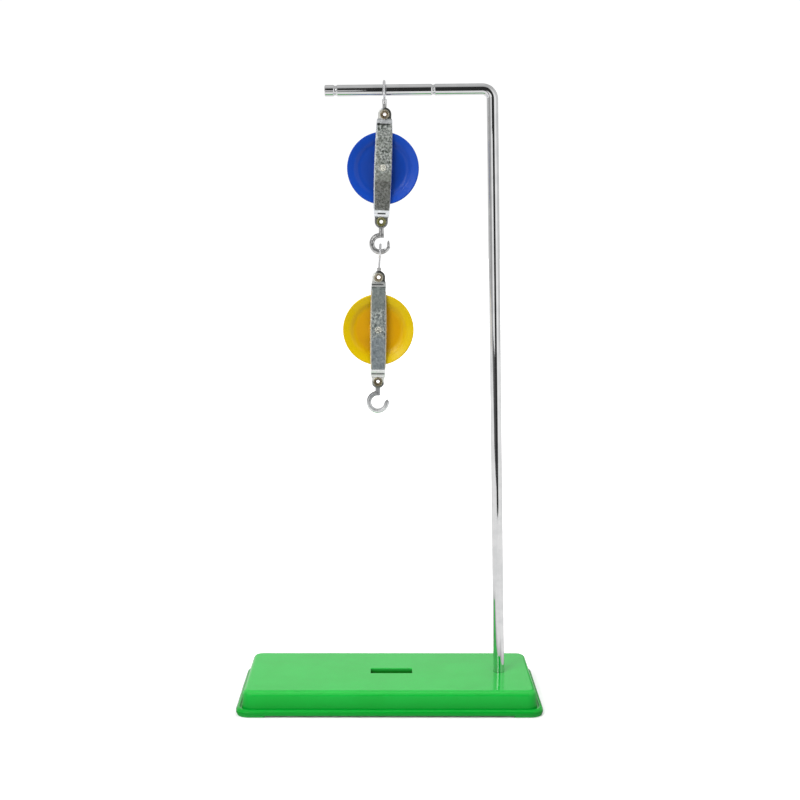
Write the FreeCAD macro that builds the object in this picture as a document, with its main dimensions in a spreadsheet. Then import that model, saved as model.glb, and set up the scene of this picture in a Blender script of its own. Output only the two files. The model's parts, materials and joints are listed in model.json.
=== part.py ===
import FreeCAD, Part
import Sketcher
import math
import os
import re

# Pulley demonstrator: a moulded base, a bent round bar with three hanging
# grooves, and two single-wheel pulley blocks that hang one below the other.
# Millimetres.  X to the right, Y to the back, Z up.  The origin is the centre
# of the base's footprint, at the level the feet stand on.

V = FreeCAD.Vector
doc = FreeCAD.newDocument("PulleyDemonstrator")
sheet = doc.addObject("Spreadsheet::Sheet", "Sizes")

SIZES = [
    # base shell
    ("rim_len", 216.0), ("rim_dep", 98.0), ("rim_rad", 9.5),
    ("rim_low", 1.2), ("ledge_top", 4.3), ("bead_top", 5.3),
    ("bead_in_len", 210.6), ("bead_in_dep", 92.6), ("bead_in_rad", 8.0),
    ("bead_round", 2.2), ("bead_in_round", 0.3), ("rim_low_round", 0.9),
    ("wall_len", 208.8), ("wall_dep", 91.4), ("wall_rad", 7.8),
    ("wall_draft", 5.0), ("base_top", 17.4), ("top_round", 3.4),
    ("shell_gap", 2.3), ("plate_thick", 2.4),
    ("foot_len", 20.0), ("foot_dep", 14.0), ("foot_inset", 0.7), ("foot_rad", 8.8),
    ("slot_x", 1.3), ("slot_y", 0.6), ("slot_len", 30.2), ("slot_wid", 10.4),
    ("slot_rad", 0.9), ("skirt_wall", 1.7), ("skirt_drop", 2.6),
    ("rod_x", 80.0), ("boss_rad", 9.0), ("boss_low", 9.4), ("socket_rad", 4.08),
    ("socket_floor", 11.4), ("stud_hole_rad", 3.2), ("gusset_thick", 2.0), ("rib_low", 11.4),
    ("foot_round", 0.3), ("slot_round", 0.5), ("socket_round", 0.25),
    # bent bar
    ("bar_rad", 4.0), ("stud_rad", 2.95), ("stud_low", 2.2),
    ("kink_start", 16.1), ("kink_rad", 300.0), ("bar_lean", 1.387),
    ("bend_rad", 7.0), ("arm_drop", 0.8915), ("arm_end_x", -46.3), ("arm_end_z", 433.204),
    ("groove_first", 7.5), ("groove_step", 33.85),
    ("groove_tool", 2.0), ("groove_floor", 3.4), ("arm_chamfer", 0.5),
    ("washer_rad", 8.0), ("washer_thick", 1.2), ("nut_flats", 10.0), ("nut_thick", 4.8),
    ("nut_bore", 3.0), ("stud_chamfer", 0.5),
    # shared by both blocks
    ("eye_half", 36.9), ("tab_rad", 4.62), ("tab_half", 4.62), ("sheet_thick", 1.0),
    ("face_out", 6.0), ("tab_out", 3.2), ("joggle_low", 28.4), ("joggle_high", 33.2),
    ("edge_round", 0.3), ("shoulder_high", 34.2), ("shoulder_low", 33.2), ("bulge_room", 8.0),
    ("bend_outer", 1.3), ("bend_inner", 0.5), ("tab_hole", 1.72), ("axle_hole", 1.62),
    ("eyelet_roll", 0.35), ("eyelet_rim", 0.3), ("head_flat", 2.0), ("head_dome", 0.5),
    ("stake_in", 1.15), ("stake_wide", 0.7), ("stake_deep", 0.25), ("hub_foot", 5.9), ("rim_edge", 24.3),
    ("hub_fillet", 1.6), ("dish_foot", 5.0), ("dish_lip", 6.0), ("groove_bed", 0.7), ("rim_outer", 0.25), ("rim_inner", 0.3), ("hub_edge", 0.3),
    ("leg_turn", 60.0), ("leg_bend", 3.0), ("stem_bend", 1.6), ("leg_len", 3.84), ("wire_chamfer", 0.25),
    ("collar_bore", 0.87), ("collar_lift", 0.1), ("collar_round", 0.3), ("yoke_bend", 0.9),
    ("eye_round", 0.7), ("up_corner", 87.0), ("low_corner", 92.0), ("up_shank", 0.0), ("low_shank", -0.15), ("corner_step", 0.12),
    # turned ends of the round-stock hooks: radius and height, from the ring's centre line outwards
    ("up_point_axis", 5.9), ("up_point_out", 4.1), ("up_point_foot", -3.56), ("up_point_wide", 1.95), ("up_point_low", -3.3),
    ("up_neck_rad", 0.95), ("up_neck_low", -2.2), ("up_nose_wide", 0.8), ("up_nose_low", 0.9), ("up_nose_rad", 0.35), ("up_nose_top", 1.9),
    ("low_point_axis", 6.55), ("low_point_out", 3.0), ("low_point_foot", -0.45), ("low_point_wide", 1.9), ("low_point_low", -0.3),
    ("low_neck_rad", 1.2), ("low_neck_low", 0.7), ("low_nose_wide", 0.9), ("low_nose_low", 1.3), ("low_nose_rad", 0.5), ("low_nose_top", 1.9),
    ("point_clear", 3.2),
    ("eyelet_bore", 1.3), ("eyelet_out", 1.7), ("eyelet_flange", 3.2), ("eyelet_lip", 0.5),
    ("axle_rad", 2.5), ("journal_rad", 1.6), ("head_rad", 2.45), ("head_thick", 0.6),
    ("wheel_rad", 25.0), ("wheel_half", 4.0), ("hub_rad", 5.4), ("hub_half", 4.8),
    ("bore_rad", 2.55), ("web_half", 1.3), ("dish_in", 17.0), ("dish_rim", 19.9),
    ("dish_half", 2.75), ("groove_mouth", 3.25), ("groove_bottom", 20.6), ("groove_flat", 0.75),
    ("wire_rad", 0.85), ("up_crown_rad", 3.15), ("up_flank", 24.0), ("low_crown_rad", 1.25), ("low_flank", 22.0),
    ("yoke_half", 2.05), ("yoke_gap", 1.4), ("yoke_crown", 6.85), ("crown_thick", 1.0),
    ("yoke_eye", 3.3), ("yoke_neck", 1.4), ("yoke_hole", 1.75), ("stem_hole", 0.93),
    ("stem_head", 1.28), ("stem_head_thick", 0.7), ("swivel_play", 0.05), ("hook_tail", 5.8),
    ("collar_rad", 1.72), ("collar_len", 3.6),
    ("stock_rad", 1.75), ("eye_rad", 4.0), ("eye_thick", 3.9), ("eye_hole", 1.75),
    # upper block
    ("up_width", 10.8), ("up_bulge", 12.4), ("up_x", -5.70), ("up_z", 380.3), ("up_lean", 1.71),
    ("up_ring", 5.78), ("up_drop", 15.3), ("up_side", -0.86), ("up_tip", 20.0),
    ("up_crown", 2.98), ("up_reach", 16.667), ("up_hook_lean", -1.2243), ("up_hook_yaw", -4.0),
    # lower block
    ("low_width", 10.3), ("low_bulge", 11.6), ("low_x", -8.74), ("low_z", 267.7), ("low_lean", 0.28),
    ("low_ring", 6.33), ("low_drop", 14.8), ("low_side", -0.1), ("low_tip", 15.0),
    ("low_crown", 3.85), ("low_reach", 17.7595), ("low_hook_lean", 2.9003), ("low_hook_yaw", 0.0),
]
for row, (name, value) in enumerate(SIZES, start=1):
    sheet.set("A%d" % row, name)
    sheet.set("B%d" % row, repr(value))
    sheet.setAlias("B%d" % row, name)
doc.recompute()
S = {name: float(sheet.get(name)) for name, _ in SIZES}

PARTS = []          # (node name, object) of every piece that is written out


def plane(body, role):
    for feature in body.Origin.OriginFeatures:
        if feature.Role == role:
            return feature
    raise RuntimeError(role)


def new_body(name, where=None):
    body = doc.addObject("PartDesign::Body", name)
    body.Label = name
    body.Placement = where or FreeCAD.Placement()
    PARTS.append((name, body))
    return body


def new_sketch(body, name, role="XY_Plane", offset=0.0):
    sk = body.newObject("Sketcher::SketchObject", name)
    sk.AttachmentSupport = (plane(body, role), [""])
    sk.MapMode = "FlatFace"
    if isinstance(offset, str):
        sk.setExpression("AttachmentOffset.Base.z", offset)
    elif offset:
        sk.AttachmentOffset = FreeCAD.Placement(V(0, 0, offset), FreeCAD.Rotation())
    return sk


def val(expr):
    """Value of an expression written in the sheet's aliases."""
    if isinstance(expr, (int, float)):
        return float(expr)
    env = {k: v for k, v in S.items()}
    total = 0.0
    for term in expr.replace("-", "+-").split("+"):
        term = term.strip()
        if not term:
            continue
        sign = 1.0
        if term.startswith("-"):
            sign, term = -1.0, term[1:].strip()
        product = 1.0
        for i, factor in enumerate(term.split("*")):
            bits = [b.strip() for b in factor.split("/")]
            for j, b in enumerate(bits):
                x = env[b] if b in env else float(b)
                product = product * x if j == 0 else product / x
        total += sign * product
    return total


def bound(expr):
    """The same expression as the document's expression engine reads it."""
    if isinstance(expr, (int, float)):
        return None
    out, word = "", ""
    for ch in expr + " ":
        if ch.isalnum() or ch == "_":
            word += ch
        else:
            if word:
                out += ("Sizes." + word) if word in S else word
                word = ""
            out += ch
    return out.strip()


def tie(sk, kind, *args):
    """One dimension of a sketch, tied to the sheet when its value is an expression."""
    expr = args[-1]
    index = sk.addConstraint(Sketcher.Constraint(kind, *args[:-1], val(expr)))
    text = bound(expr)
    if text:
        name = "%s_%d" % (kind.lower(), index)
        sk.renameConstraint(index, name)
        sk.setExpression("Constraints." + name, text)
    return index


def polygon(sk, points):
    """Closed outline through points given as pairs of expressions."""
    first = sk.GeometryCount
    n = len(points)
    xy = [V(val(x), val(y), 0) for x, y in points]
    for i in range(n):
        sk.addGeometry(Part.LineSegment(xy[i], xy[(i + 1) % n]), False)
    for i in range(n):
        sk.addConstraint(Sketcher.Constraint("Coincident", first + i, 2, first + (i + 1) % n, 1))
    for i, (x, y) in enumerate(points):
        if abs(val(x)) < 1e-9 and not isinstance(x, str):
            sk.addConstraint(Sketcher.Constraint("PointOnObject", first + i, 1, -2))
        else:
            tie(sk, "DistanceX", -1, 1, first + i, 1, x)
        if abs(val(y)) < 1e-9 and not isinstance(y, str):
            sk.addConstraint(Sketcher.Constraint("PointOnObject", first + i, 1, -1))
        else:
            tie(sk, "DistanceY", -1, 1, first + i, 1, y)


def circle(sk, x, y, rad):
    g = sk.addGeometry(Part.Circle(V(val(x), val(y), 0), V(0, 0, 1), val(rad)), False)
    tie(sk, "Radius", g, rad)
    if val(x) == 0 and val(y) == 0:
        sk.addConstraint(Sketcher.Constraint("Coincident", g, 3, -1, 1))
    else:
        for kind, c in (("DistanceX", x), ("DistanceY", y)):
            if abs(val(c)) < 1e-9 and not isinstance(c, str):
                sk.addConstraint(Sketcher.Constraint("PointOnObject", g, 3, -2 if kind == "DistanceX" else -1))
            else:
                tie(sk, kind, -1, 1, g, 3, c)
    return g


def round_rect(sk, cx, cy, length, width, rad):
    """Rounded rectangle: four lines and four tangent corner arcs."""
    x0, x1 = cx - length / 2, cx + length / 2
    y0, y1 = cy - width / 2, cy + width / 2
    q = math.pi / 2
    first = sk.GeometryCount
    sk.addGeometry(Part.LineSegment(V(x0 + rad, y0, 0), V(x1 - rad, y0, 0)), False)
    sk.addGeometry(Part.ArcOfCircle(Part.Circle(V(x1 - rad, y0 + rad, 0), V(0, 0, 1), rad), -q, 0), False)
    sk.addGeometry(Part.LineSegment(V(x1, y0 + rad, 0), V(x1, y1 - rad, 0)), False)
    sk.addGeometry(Part.ArcOfCircle(Part.Circle(V(x1 - rad, y1 - rad, 0), V(0, 0, 1), rad), 0, q), False)
    sk.addGeometry(Part.LineSegment(V(x1 - rad, y1, 0), V(x0 + rad, y1, 0)), False)
    sk.addGeometry(Part.ArcOfCircle(Part.Circle(V(x0 + rad, y1 - rad, 0), V(0, 0, 1), rad), q, 2 * q), False)
    sk.addGeometry(Part.LineSegment(V(x0, y1 - rad, 0), V(x0, y0 + rad, 0)), False)
    sk.addGeometry(Part.ArcOfCircle(Part.Circle(V(x0 + rad, y0 + rad, 0), V(0, 0, 1), rad), 2 * q, 3 * q), False)
    C = Sketcher.Constraint
    order = [(0, 2, 1, 1), (1, 2, 2, 1), (2, 2, 3, 1), (3, 2, 4, 1), (4, 2, 5, 1), (5, 2, 6, 1), (6, 2, 7, 1), (7, 2, 0, 1)]
    for a, pa, b, pb in order:
        sk.addConstraint(C("Tangent", first + a, pa, first + b, pb))
    for g in (0, 4):
        sk.addConstraint(C("Horizontal", first + g))
    for g in (2, 6):
        sk.addConstraint(C("Vertical", first + g))
    for g in (3, 5, 7):
        sk.addConstraint(C("Equal", first + 1, first + g))
    return first


def half(expr):
    """Half of an expression that is a sum of terms."""
    return "".join(t if t.strip() in ("+", "-") else t + "/2" for t in re.split(r"(\s*[+-]\s*)", expr) if t) if expr else ""


def tie_round_rect(sk, first, cx, cy, length, width, rad):
    """Ties a rounded rectangle's size and place to the sheet."""
    tie(sk, "Radius", first + 1, rad)
    tie(sk, "DistanceX", -1, 1, first + 2, 1, (cx + " + " if cx else "") + half(length))
    tie(sk, "DistanceX", first + 6, 1, first + 2, 1, length)
    tie(sk, "DistanceY", -1, 1, first + 4, 1, (cy + " + " if cy else "") + half(width))
    tie(sk, "DistanceY", first + 0, 1, first + 4, 1, width)


def rect_sketch(body, name, z, length, width, rad, cx="", cy=""):
    sk = new_sketch(body, name, "XY_Plane", z)
    f = round_rect(sk, val(cx) if cx else 0.0, val(cy) if cy else 0.0, val(length), val(width), val(rad))
    tie_round_rect(sk, f, cx, cy, length, width, rad)
    return sk


def volume(body):
    doc.recompute()
    return body.Shape.Volume


def pad(body, name, sk, length, midplane=False, reverse=False, taper=None):
    before = body.Shape.Volume if body.Tip else 0.0
    f = body.newObject("PartDesign::Pad", name)
    f.Profile = sk
    f.Length = val(length)
    if bound(length):
        f.setExpression("Length", bound(length))
    f.Midplane = midplane
    f.Reversed = reverse
    if taper:
        f.TaperAngle = -val(taper)
        f.setExpression("TaperAngle", "-" + bound(taper))
    sk.Visibility = False
    if not volume(body) > before + 1e-6:
        raise RuntimeError("%s added nothing: %s %s" % (name, f.State, f.getStatusString()))
    return f


def pocket(body, name, sk, length=None, midplane=False, reverse=False, taper=None):
    before = volume(body)
    f = body.newObject("PartDesign::Pocket", name)
    f.Profile = sk
    if length is None:
        f.Type = "ThroughAll"
    else:
        f.Length = val(length)
        if bound(length):
            f.setExpression("Length", bound(length))
    f.Midplane = midplane
    f.Reversed = reverse
    if taper:
        f.TaperAngle = -val(taper)
        f.setExpression("TaperAngle", "-" + bound(taper))
    if not volume(body) < before - 1e-6:
        raise RuntimeError(name + " cut nothing")
    return f


def revolve(body, name, sk, axis="V_Axis", groove=False, angle=360.0):
    before = volume(body) if groove else 0.0
    f = body.newObject("PartDesign::Groove" if groove else "PartDesign::Revolution", name)
    f.Profile = sk
    f.ReferenceAxis = (sk, [axis])
    f.Angle = angle
    after = volume(body)
    if groove and not after < before - 1e-6:
        raise RuntimeError(name + " cut nothing")
    return f


def edges(feature, test):
    """Names of the feature's edges that pass a test of (edge, middle point)."""
    found = []
    for i, e in enumerate(feature.Shape.Edges, start=1):
        mid = e.valueAt((e.FirstParameter + e.LastParameter) / 2)
        if test(e, mid):
            found.append("Edge%d" % i)
    return found


def fillet(body, name, base, names, radius, chamfer=False):
    if not names:
        raise RuntimeError(name + " found no edges")
    f = body.newObject("PartDesign::Chamfer" if chamfer else "PartDesign::Fillet", name)
    f.Base = (base, names)
    key = "Size" if chamfer else "Radius"
    setattr(f, key, val(radius))
    if bound(radius):
        f.setExpression(key, bound(radius))
    before = base.Shape.Volume
    doc.recompute()
    if "Invalid" in f.State or "Error" in f.State or f.Shape.isNull() or abs(f.Shape.Volume - before) < 1e-9:
        raise RuntimeError(name + " failed: " + str(f.State))
    return f


def is_circle(e, r=None, tol=0.02):
    c = e.Curve
    return isinstance(c, Part.Circle) and (r is None or abs(c.Radius - r) < tol)


# ---------------------------------------------------------------- base shell

base = new_body("base_shell")
flange = pad(base, "Flange", rect_sketch(base, "FlangeOutline", "Sizes.rim_low", "rim_len", "rim_dep", "rim_rad"),
             "ledge_top - rim_low")
bead_sk = new_sketch(base, "BeadOutline", "XY_Plane", "Sizes.ledge_top")
f0 = round_rect(bead_sk, 0, 0, S["rim_len"], S["rim_dep"], S["rim_rad"])
tie_round_rect(bead_sk, f0, "", "", "rim_len", "rim_dep", "rim_rad")
f1 = round_rect(bead_sk, 0, 0, S["bead_in_len"], S["bead_in_dep"], S["bead_in_rad"])
tie_round_rect(bead_sk, f1, "", "", "bead_in_len", "bead_in_dep", "bead_in_rad")
bead = pad(base, "Bead", bead_sk, "bead_top - ledge_top")
# the edges of the bead, before the walls join it
top_outer = edges(bead, lambda e, m: abs(m.z - S["bead_top"]) < 1e-4 and abs(e.BoundBox.ZLength) < 1e-6 and
                  (abs(m.x) > S["bead_in_len"] / 2 + 1.2 or abs(m.y) > S["bead_in_dep"] / 2 + 1.2 or
                   (is_circle(e, S["rim_rad"]))))
bead_round = fillet(base, "BeadOuterRound", bead, top_outer, "bead_round")
inner_top = edges(bead_round, lambda e, m: abs(m.z - S["bead_top"]) < 1e-4 and
                  (is_circle(e, S["bead_in_rad"]) or
                   (isinstance(e.Curve, Part.Line) and (abs(abs(m.x) - S["bead_in_len"] / 2) < 1e-3 or
                                                        abs(abs(m.y) - S["bead_in_dep"] / 2) < 1e-3))))
bead_in_round = fillet(base, "BeadInnerRound", bead_round, inner_top, "bead_in_round")
low_outer = edges(bead_in_round, lambda e, m: abs(m.z - S["rim_low"]) < 1e-4)
bead_low_round = fillet(base, "RimLowRound", bead_in_round, low_outer, "rim_low_round")
wall = pad(base, "Walls", rect_sketch(base, "WallOutline", "Sizes.rim_low", "wall_len", "wall_dep", "wall_rad"),
           "base_top - rim_low", taper="wall_draft")
top_edges = edges(wall, lambda e, m: abs(m.z - S["base_top"]) < 1e-4)
top_round = fillet(base, "TopRound", wall, top_edges, "top_round")
hollow_sk = rect_sketch(base, "HollowOutline", "Sizes.rim_low", "wall_len - 2*shell_gap", "wall_dep - 2*shell_gap",
                        "wall_rad - shell_gap")
hollow = pocket(base, "Hollow", hollow_sk, "base_top - plate_thick - rim_low", reverse=True, taper="wall_draft")
feet = pad(base, "FeetRing", rect_sketch(base, "FeetOutline", 0.0, "rim_len - 2*foot_inset",
                                         "rim_dep - 2*foot_inset", "foot_rad"), "rim_low")
feet_open = pocket(base, "FeetOpen", rect_sketch(base, "FeetOpenOutline", 0.0, "wall_len - 2*shell_gap",
                                                 "wall_dep - 2*shell_gap", "wall_rad - shell_gap"),
                   "rim_low", reverse=True)
for tag, half_x, half_y in (("Side", "rim_len/2", "rim_dep/2 - foot_inset - foot_dep"),
                            ("End", "rim_len/2 - foot_inset - foot_len", "rim_dep/2")):
    sk = new_sketch(base, "FootGap" + tag)
    minus_x, minus_y = "-" + half_x.replace(" - ", " + "), "-" + half_y.replace(" - ", " + ")
    polygon(sk, [(minus_x, minus_y), (half_x, minus_y), (half_x, half_y), (minus_x, half_y)])
    gap = pocket(base, "FootGapCut" + tag, sk, "rim_low", reverse=True)
foot_low = edges(gap, lambda e, m: abs(m.z) < 1e-4 and (abs(m.x) > S["rim_len"] / 2 - S["foot_inset"] - 0.01 or
                                                        abs(m.y) > S["rim_dep"] / 2 - S["foot_inset"] - 0.01 or
                                                        is_circle(e, S["foot_rad"])))
foot_round = fillet(base, "FootRound", gap, foot_low, "foot_round")

# the boss for the bar, with stiffening ribs to the walls
boss_sk = new_sketch(base, "BossOutline", "XY_Plane", "Sizes.boss_low")
circle(boss_sk, "rod_x", 0, "boss_rad")
boss = pad(base, "Boss", boss_sk, "base_top - plate_thick - boss_low + 0.5")
rib_sk = new_sketch(base, "CrossRib", "XY_Plane", "Sizes.rib_low")
polygon(rib_sk, [("rod_x - gusset_thick/2", "-wall_dep/2 + shell_gap + 0.2"), ("rod_x + gusset_thick/2", "-wall_dep/2 + shell_gap + 0.2"),
                 ("rod_x + gusset_thick/2", "wall_dep/2 - shell_gap - 0.2"), ("rod_x - gusset_thick/2", "wall_dep/2 - shell_gap - 0.2")])
rib = pad(base, "CrossRibPad", rib_sk, "base_top - plate_thick - rib_low + 0.5")
rib_sk = new_sketch(base, "EndRib", "XY_Plane", "Sizes.rib_low")
polygon(rib_sk, [("rod_x", "-gusset_thick/2"), ("wall_len/2 - shell_gap - 0.2", "-gusset_thick/2"),
                 ("wall_len/2 - shell_gap - 0.2", "gusset_thick/2"), ("rod_x", "gusset_thick/2")])
rib = pad(base, "EndRibPad", rib_sk, "base_top - plate_thick - rib_low + 0.5")
sk = new_sketch(base, "SocketOutline", "XY_Plane", "Sizes.socket_floor")
circle(sk, "rod_x", 0, "socket_rad")
pocket(base, "Socket", sk, "base_top - socket_floor + 1", reverse=True)
sk = new_sketch(base, "StudHoleOutline")
circle(sk, "rod_x", 0, "stud_hole_rad")
pocket(base, "StudHole", sk, "base_top", reverse=True)

# the slot through the plate, with a short skirt round it inside
skirt = pad(base, "Skirt", rect_sketch(base, "SkirtOutline", "Sizes.base_top - Sizes.plate_thick - Sizes.skirt_drop",
                                       "slot_len + 2*skirt_wall", "slot_wid + 2*skirt_wall", "slot_rad + skirt_wall",
                                       "slot_x", "slot_y"), "skirt_drop + 0.5")
slot = pocket(base, "Slot", rect_sketch(base, "SlotOutline", 0.0, "slot_len", "slot_wid", "slot_rad", "slot_x", "slot_y"),
              "base_top + 1", reverse=True)
slot_top = edges(slot, lambda e, m: abs(m.z - S["base_top"]) < 1e-4 and abs(m.x - S["slot_x"]) < S["slot_len"] / 2 + 0.1 and
                 abs(m.y - S["slot_y"]) < S["slot_wid"] / 2 + 0.1)
slot_round = fillet(base, "SlotRound", slot, slot_top, "slot_round")
socket_top = edges(slot_round, lambda e, m: abs(m.z - S["base_top"]) < 1e-4 and is_circle(e, S["socket_rad"]))
fillet(base, "SocketRound", slot_round, socket_top, "socket_round")

# ------------------------------------------------------------------ bent bar

a = math.radians(S["bar_lean"])
b = math.radians(S["arm_drop"])
P0 = V(S["rod_x"], S["socket_floor"], 0)
P1 = V(S["rod_x"], S["kink_start"], 0)
P2 = P1 + V(-S["kink_rad"] * (1 - math.cos(a)), S["kink_rad"] * math.sin(a), 0)
d2 = V(-math.sin(a), math.cos(a), 0)
d3 = V(-math.cos(b), -math.sin(b), 0)
P5 = V(S["arm_end_x"], S["arm_end_z"], 0)
# where the lean line and the arm's line cross
det = d2.x * -d3.y + d3.x * d2.y
u = ((P5.x - P2.x) * -d3.y + d3.x * (P5.y - P2.y)) / det
corner = P2 + d2 * u
turn = math.pi / 2 - a + b
back = S["bend_rad"] * math.tan(turn / 2)
P3 = corner - d2 * back
P4 = corner + d3 * back
bar = new_body("upright_rod")
spine = new_sketch(bar, "BarPath", "XZ_Plane")
c1 = P1 + V(-S["kink_rad"], 0, 0)
n2 = V(-d2.y, d2.x, 0)
c2 = P3 + n2 * S["bend_rad"]
spine.addGeometry(Part.LineSegment(P0, P1), False)
spine.addGeometry(Part.ArcOfCircle(Part.Circle(c1, V(0, 0, 1), S["kink_rad"]), 0, a), False)
spine.addGeometry(Part.LineSegment(P2, P3), False)
spine.addGeometry(Part.ArcOfCircle(Part.Circle(c2, V(0, 0, 1), S["bend_rad"]), a, a + turn), False)
spine.addGeometry(Part.LineSegment(P4, P5), False)
C = Sketcher.Constraint
spine.addConstraint(C("Vertical", 0))
spine.addConstraint(C("Tangent", 0, 2, 1, 1))
spine.addConstraint(C("Tangent", 1, 2, 2, 1))
spine.addConstraint(C("Tangent", 2, 2, 3, 1))
spine.addConstraint(C("Tangent", 3, 2, 4, 1))
tie(spine, "DistanceX", -1, 1, 0, 1, "rod_x")
tie(spine, "DistanceY", -1, 1, 0, 1, "socket_floor")
tie(spine, "DistanceY", -1, 1, 0, 2, "kink_start")
tie(spine, "Radius", 1, "kink_rad")
tie(spine, "Radius", 3, "bend_rad")
tie(spine, "DistanceX", 4, 2, -1, 1, "-arm_end_x")
tie(spine, "DistanceY", -1, 1, 4, 2, "arm_end_z")
bar_prof = new_sketch(bar, "BarSection", "XY_Plane", "Sizes.socket_floor")
circle(bar_prof, "rod_x", 0, "bar_rad")
pipe = bar.newObject("PartDesign::AdditivePipe", "BarSweep")
pipe.Profile = bar_prof
pipe.Spine = (spine, ["Edge%d" % n for n in range(1, 6)])
pipe.Mode = "Standard"
print("bar sweep", volume(bar), "expected",
      math.pi * S["bar_rad"] ** 2 * (S["kink_start"] - S["socket_floor"] + S["kink_rad"] * a + (P3 - P2).Length +
                                     S["bend_rad"] * turn + (P5 - P4).Length))
end_edges = edges(pipe, lambda e, m: is_circle(e, S["bar_rad"]) and abs(e.Curve.Center.x - S["arm_end_x"]) < 0.01)
arm_end = fillet(bar, "ArmEnd", pipe, end_edges, "arm_chamfer", chamfer=True)
cut_volumes = []
for n, label in enumerate(("Outer", "Middle", "Inner")):
    groove_sk = new_sketch(bar, label + "GrooveSection", "XZ_Plane")
    # turned about the bar's own axis, so the cut doesn't start on the bar's seam line
    groove_sk.AttachmentOffset = FreeCAD.Placement(V(S["arm_end_x"], S["arm_end_z"], 0),
                                                   FreeCAD.Rotation(V(0, 0, 1), S["arm_drop"]) * FreeCAD.Rotation(V(1, 0, 0), 37))
    groove_sk.setExpression("AttachmentOffset.Base.x", "Sizes.arm_end_x")
    groove_sk.setExpression("AttachmentOffset.Base.y", "Sizes.arm_end_z")
    circle(groove_sk, "groove_first" + " + groove_step" * n, "groove_floor + groove_tool", "groove_tool")
    uncut = volume(bar)
    revolve(bar, label + "Groove", groove_sk, "H_Axis", groove=True)
    cut_volumes.append(uncut - volume(bar))
print("groove cuts", cut_volumes)
if max(cut_volumes) > 1.05 * min(cut_volumes):
    raise RuntimeError("the three grooves are not alike")
stud_sk = new_sketch(bar, "StudSection", "XY_Plane", "Sizes.socket_floor")
circle(stud_sk, "rod_x", 0, "stud_rad")
stud = pad(bar, "Stud", stud_sk, "socket_floor - stud_low", reverse=True)
stud_end = fillet(bar, "StudEnd", stud, edges(stud, lambda e, m: abs(m.z - S["stud_low"]) < 1e-4), "stud_chamfer", chamfer=True)

washer = new_body("rod_washer")
sk = new_sketch(washer, "WasherSection", "XY_Plane", "Sizes.boss_low")
circle(sk, "rod_x", 0, "washer_rad")
circle(sk, "rod_x", 0, "stud_hole_rad")
pad(washer, "Washer", sk, "washer_thick", reverse=True)

nut = new_body("rod_nut")
sk = new_sketch(nut, "NutSection", "XY_Plane", "Sizes.boss_low - Sizes.washer_thick")
flats = S["nut_flats"] / 2
hexagon = [V(S["rod_x"] + 2 * flats / math.sqrt(3) * math.cos(math.radians(60 * k)),
             2 * flats / math.sqrt(3) * math.sin(math.radians(60 * k)), 0) for k in range(6)]
for k in range(6):
    sk.addGeometry(Part.LineSegment(hexagon[k], hexagon[(k + 1) % 6]), False)
for k in range(6):
    sk.addConstraint(C("Coincident", k, 2, (k + 1) % 6, 1))
for k in range(1, 6):
    sk.addConstraint(C("Equal", 0, k))
sk.addGeometry(Part.Circle(V(S["rod_x"], 0, 0), V(0, 0, 1), 2 * flats / math.sqrt(3)), True)
tie(sk, "DistanceX", -1, 1, 6, 3, "rod_x")
sk.addConstraint(C("PointOnObject", 6, 3, -1))
for k in range(6):
    sk.addConstraint(C("PointOnObject", k, 1, 6))
sk.addConstraint(C("Horizontal", 1))
tie(sk, "DistanceY", 4, 1, 1, 1, "nut_flats")
circle(sk, "rod_x", 0, "nut_bore")
nut_pad = pad(nut, "Nut", sk, "nut_thick", reverse=True)

# ------------------------------------------------------------- pulley blocks


def outline(sk, points, arcs):
    """Closed outline, counter-clockwise.  arcs: {index of the side: (centre x, centre y)}."""
    first = sk.GeometryCount
    n = len(points)
    xy = [V(val(p[0]), val(p[1]), 0) for p in points]
    for i in range(n):
        p, q = xy[i], xy[(i + 1) % n]
        if i in arcs:
            cx, cy = arcs[i]
            c = V(val(cx), val(cy), 0)
            r = (p - c).Length
            a0, a1 = math.atan2(p.y - c.y, p.x - c.x), math.atan2(q.y - c.y, q.x - c.x)
            if a1 <= a0:
                a1 += 2 * math.pi
            sk.addGeometry(Part.ArcOfCircle(Part.Circle(c, V(0, 0, 1), r), a0, a1), False)
        else:
            sk.addGeometry(Part.LineSegment(p, q), False)
    for i in range(n):
        sk.addConstraint(Sketcher.Constraint("Coincident", first + i, 2, first + (i + 1) % n, 1))
    return first


def eyelet(tag, which, where):
    body = new_body("%s_%s_eyelet" % (tag, which), where)
    sk = new_sketch(body, "Section", "YZ_Plane")
    sign = 1 if which == "top" else -1
    sk.AttachmentOffset = FreeCAD.Placement(V(0, sign * S["eye_half"], 0), FreeCAD.Rotation())
    sk.setExpression("AttachmentOffset.Base.y", ("" if sign > 0 else "-") + "Sizes.eye_half")
    polygon(sk, [("-tab_out - eyelet_lip", "eyelet_bore"), ("tab_out + eyelet_lip", "eyelet_bore"),
                 ("tab_out + eyelet_lip", "eyelet_flange"), ("tab_out", "eyelet_flange"), ("tab_out", "eyelet_out"),
                 ("-tab_out", "eyelet_out"), ("-tab_out", "eyelet_flange"), ("-tab_out - eyelet_lip", "eyelet_flange")])
    turned = revolve(body, "Turned", sk, "H_Axis")
    mouth = edges(turned, lambda e, m: is_circle(e, S["eyelet_bore"]))
    rolled = fillet(body, "RolledMouth", turned, mouth, "eyelet_roll")
    outer = edges(rolled, lambda e, m: is_circle(e, S["eyelet_flange"]) and abs(abs(m.y) - S["tab_out"] - S["eyelet_lip"]) < 1e-3)
    fillet(body, "RolledRim", rolled, outer, "eyelet_rim")
    return body


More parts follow.
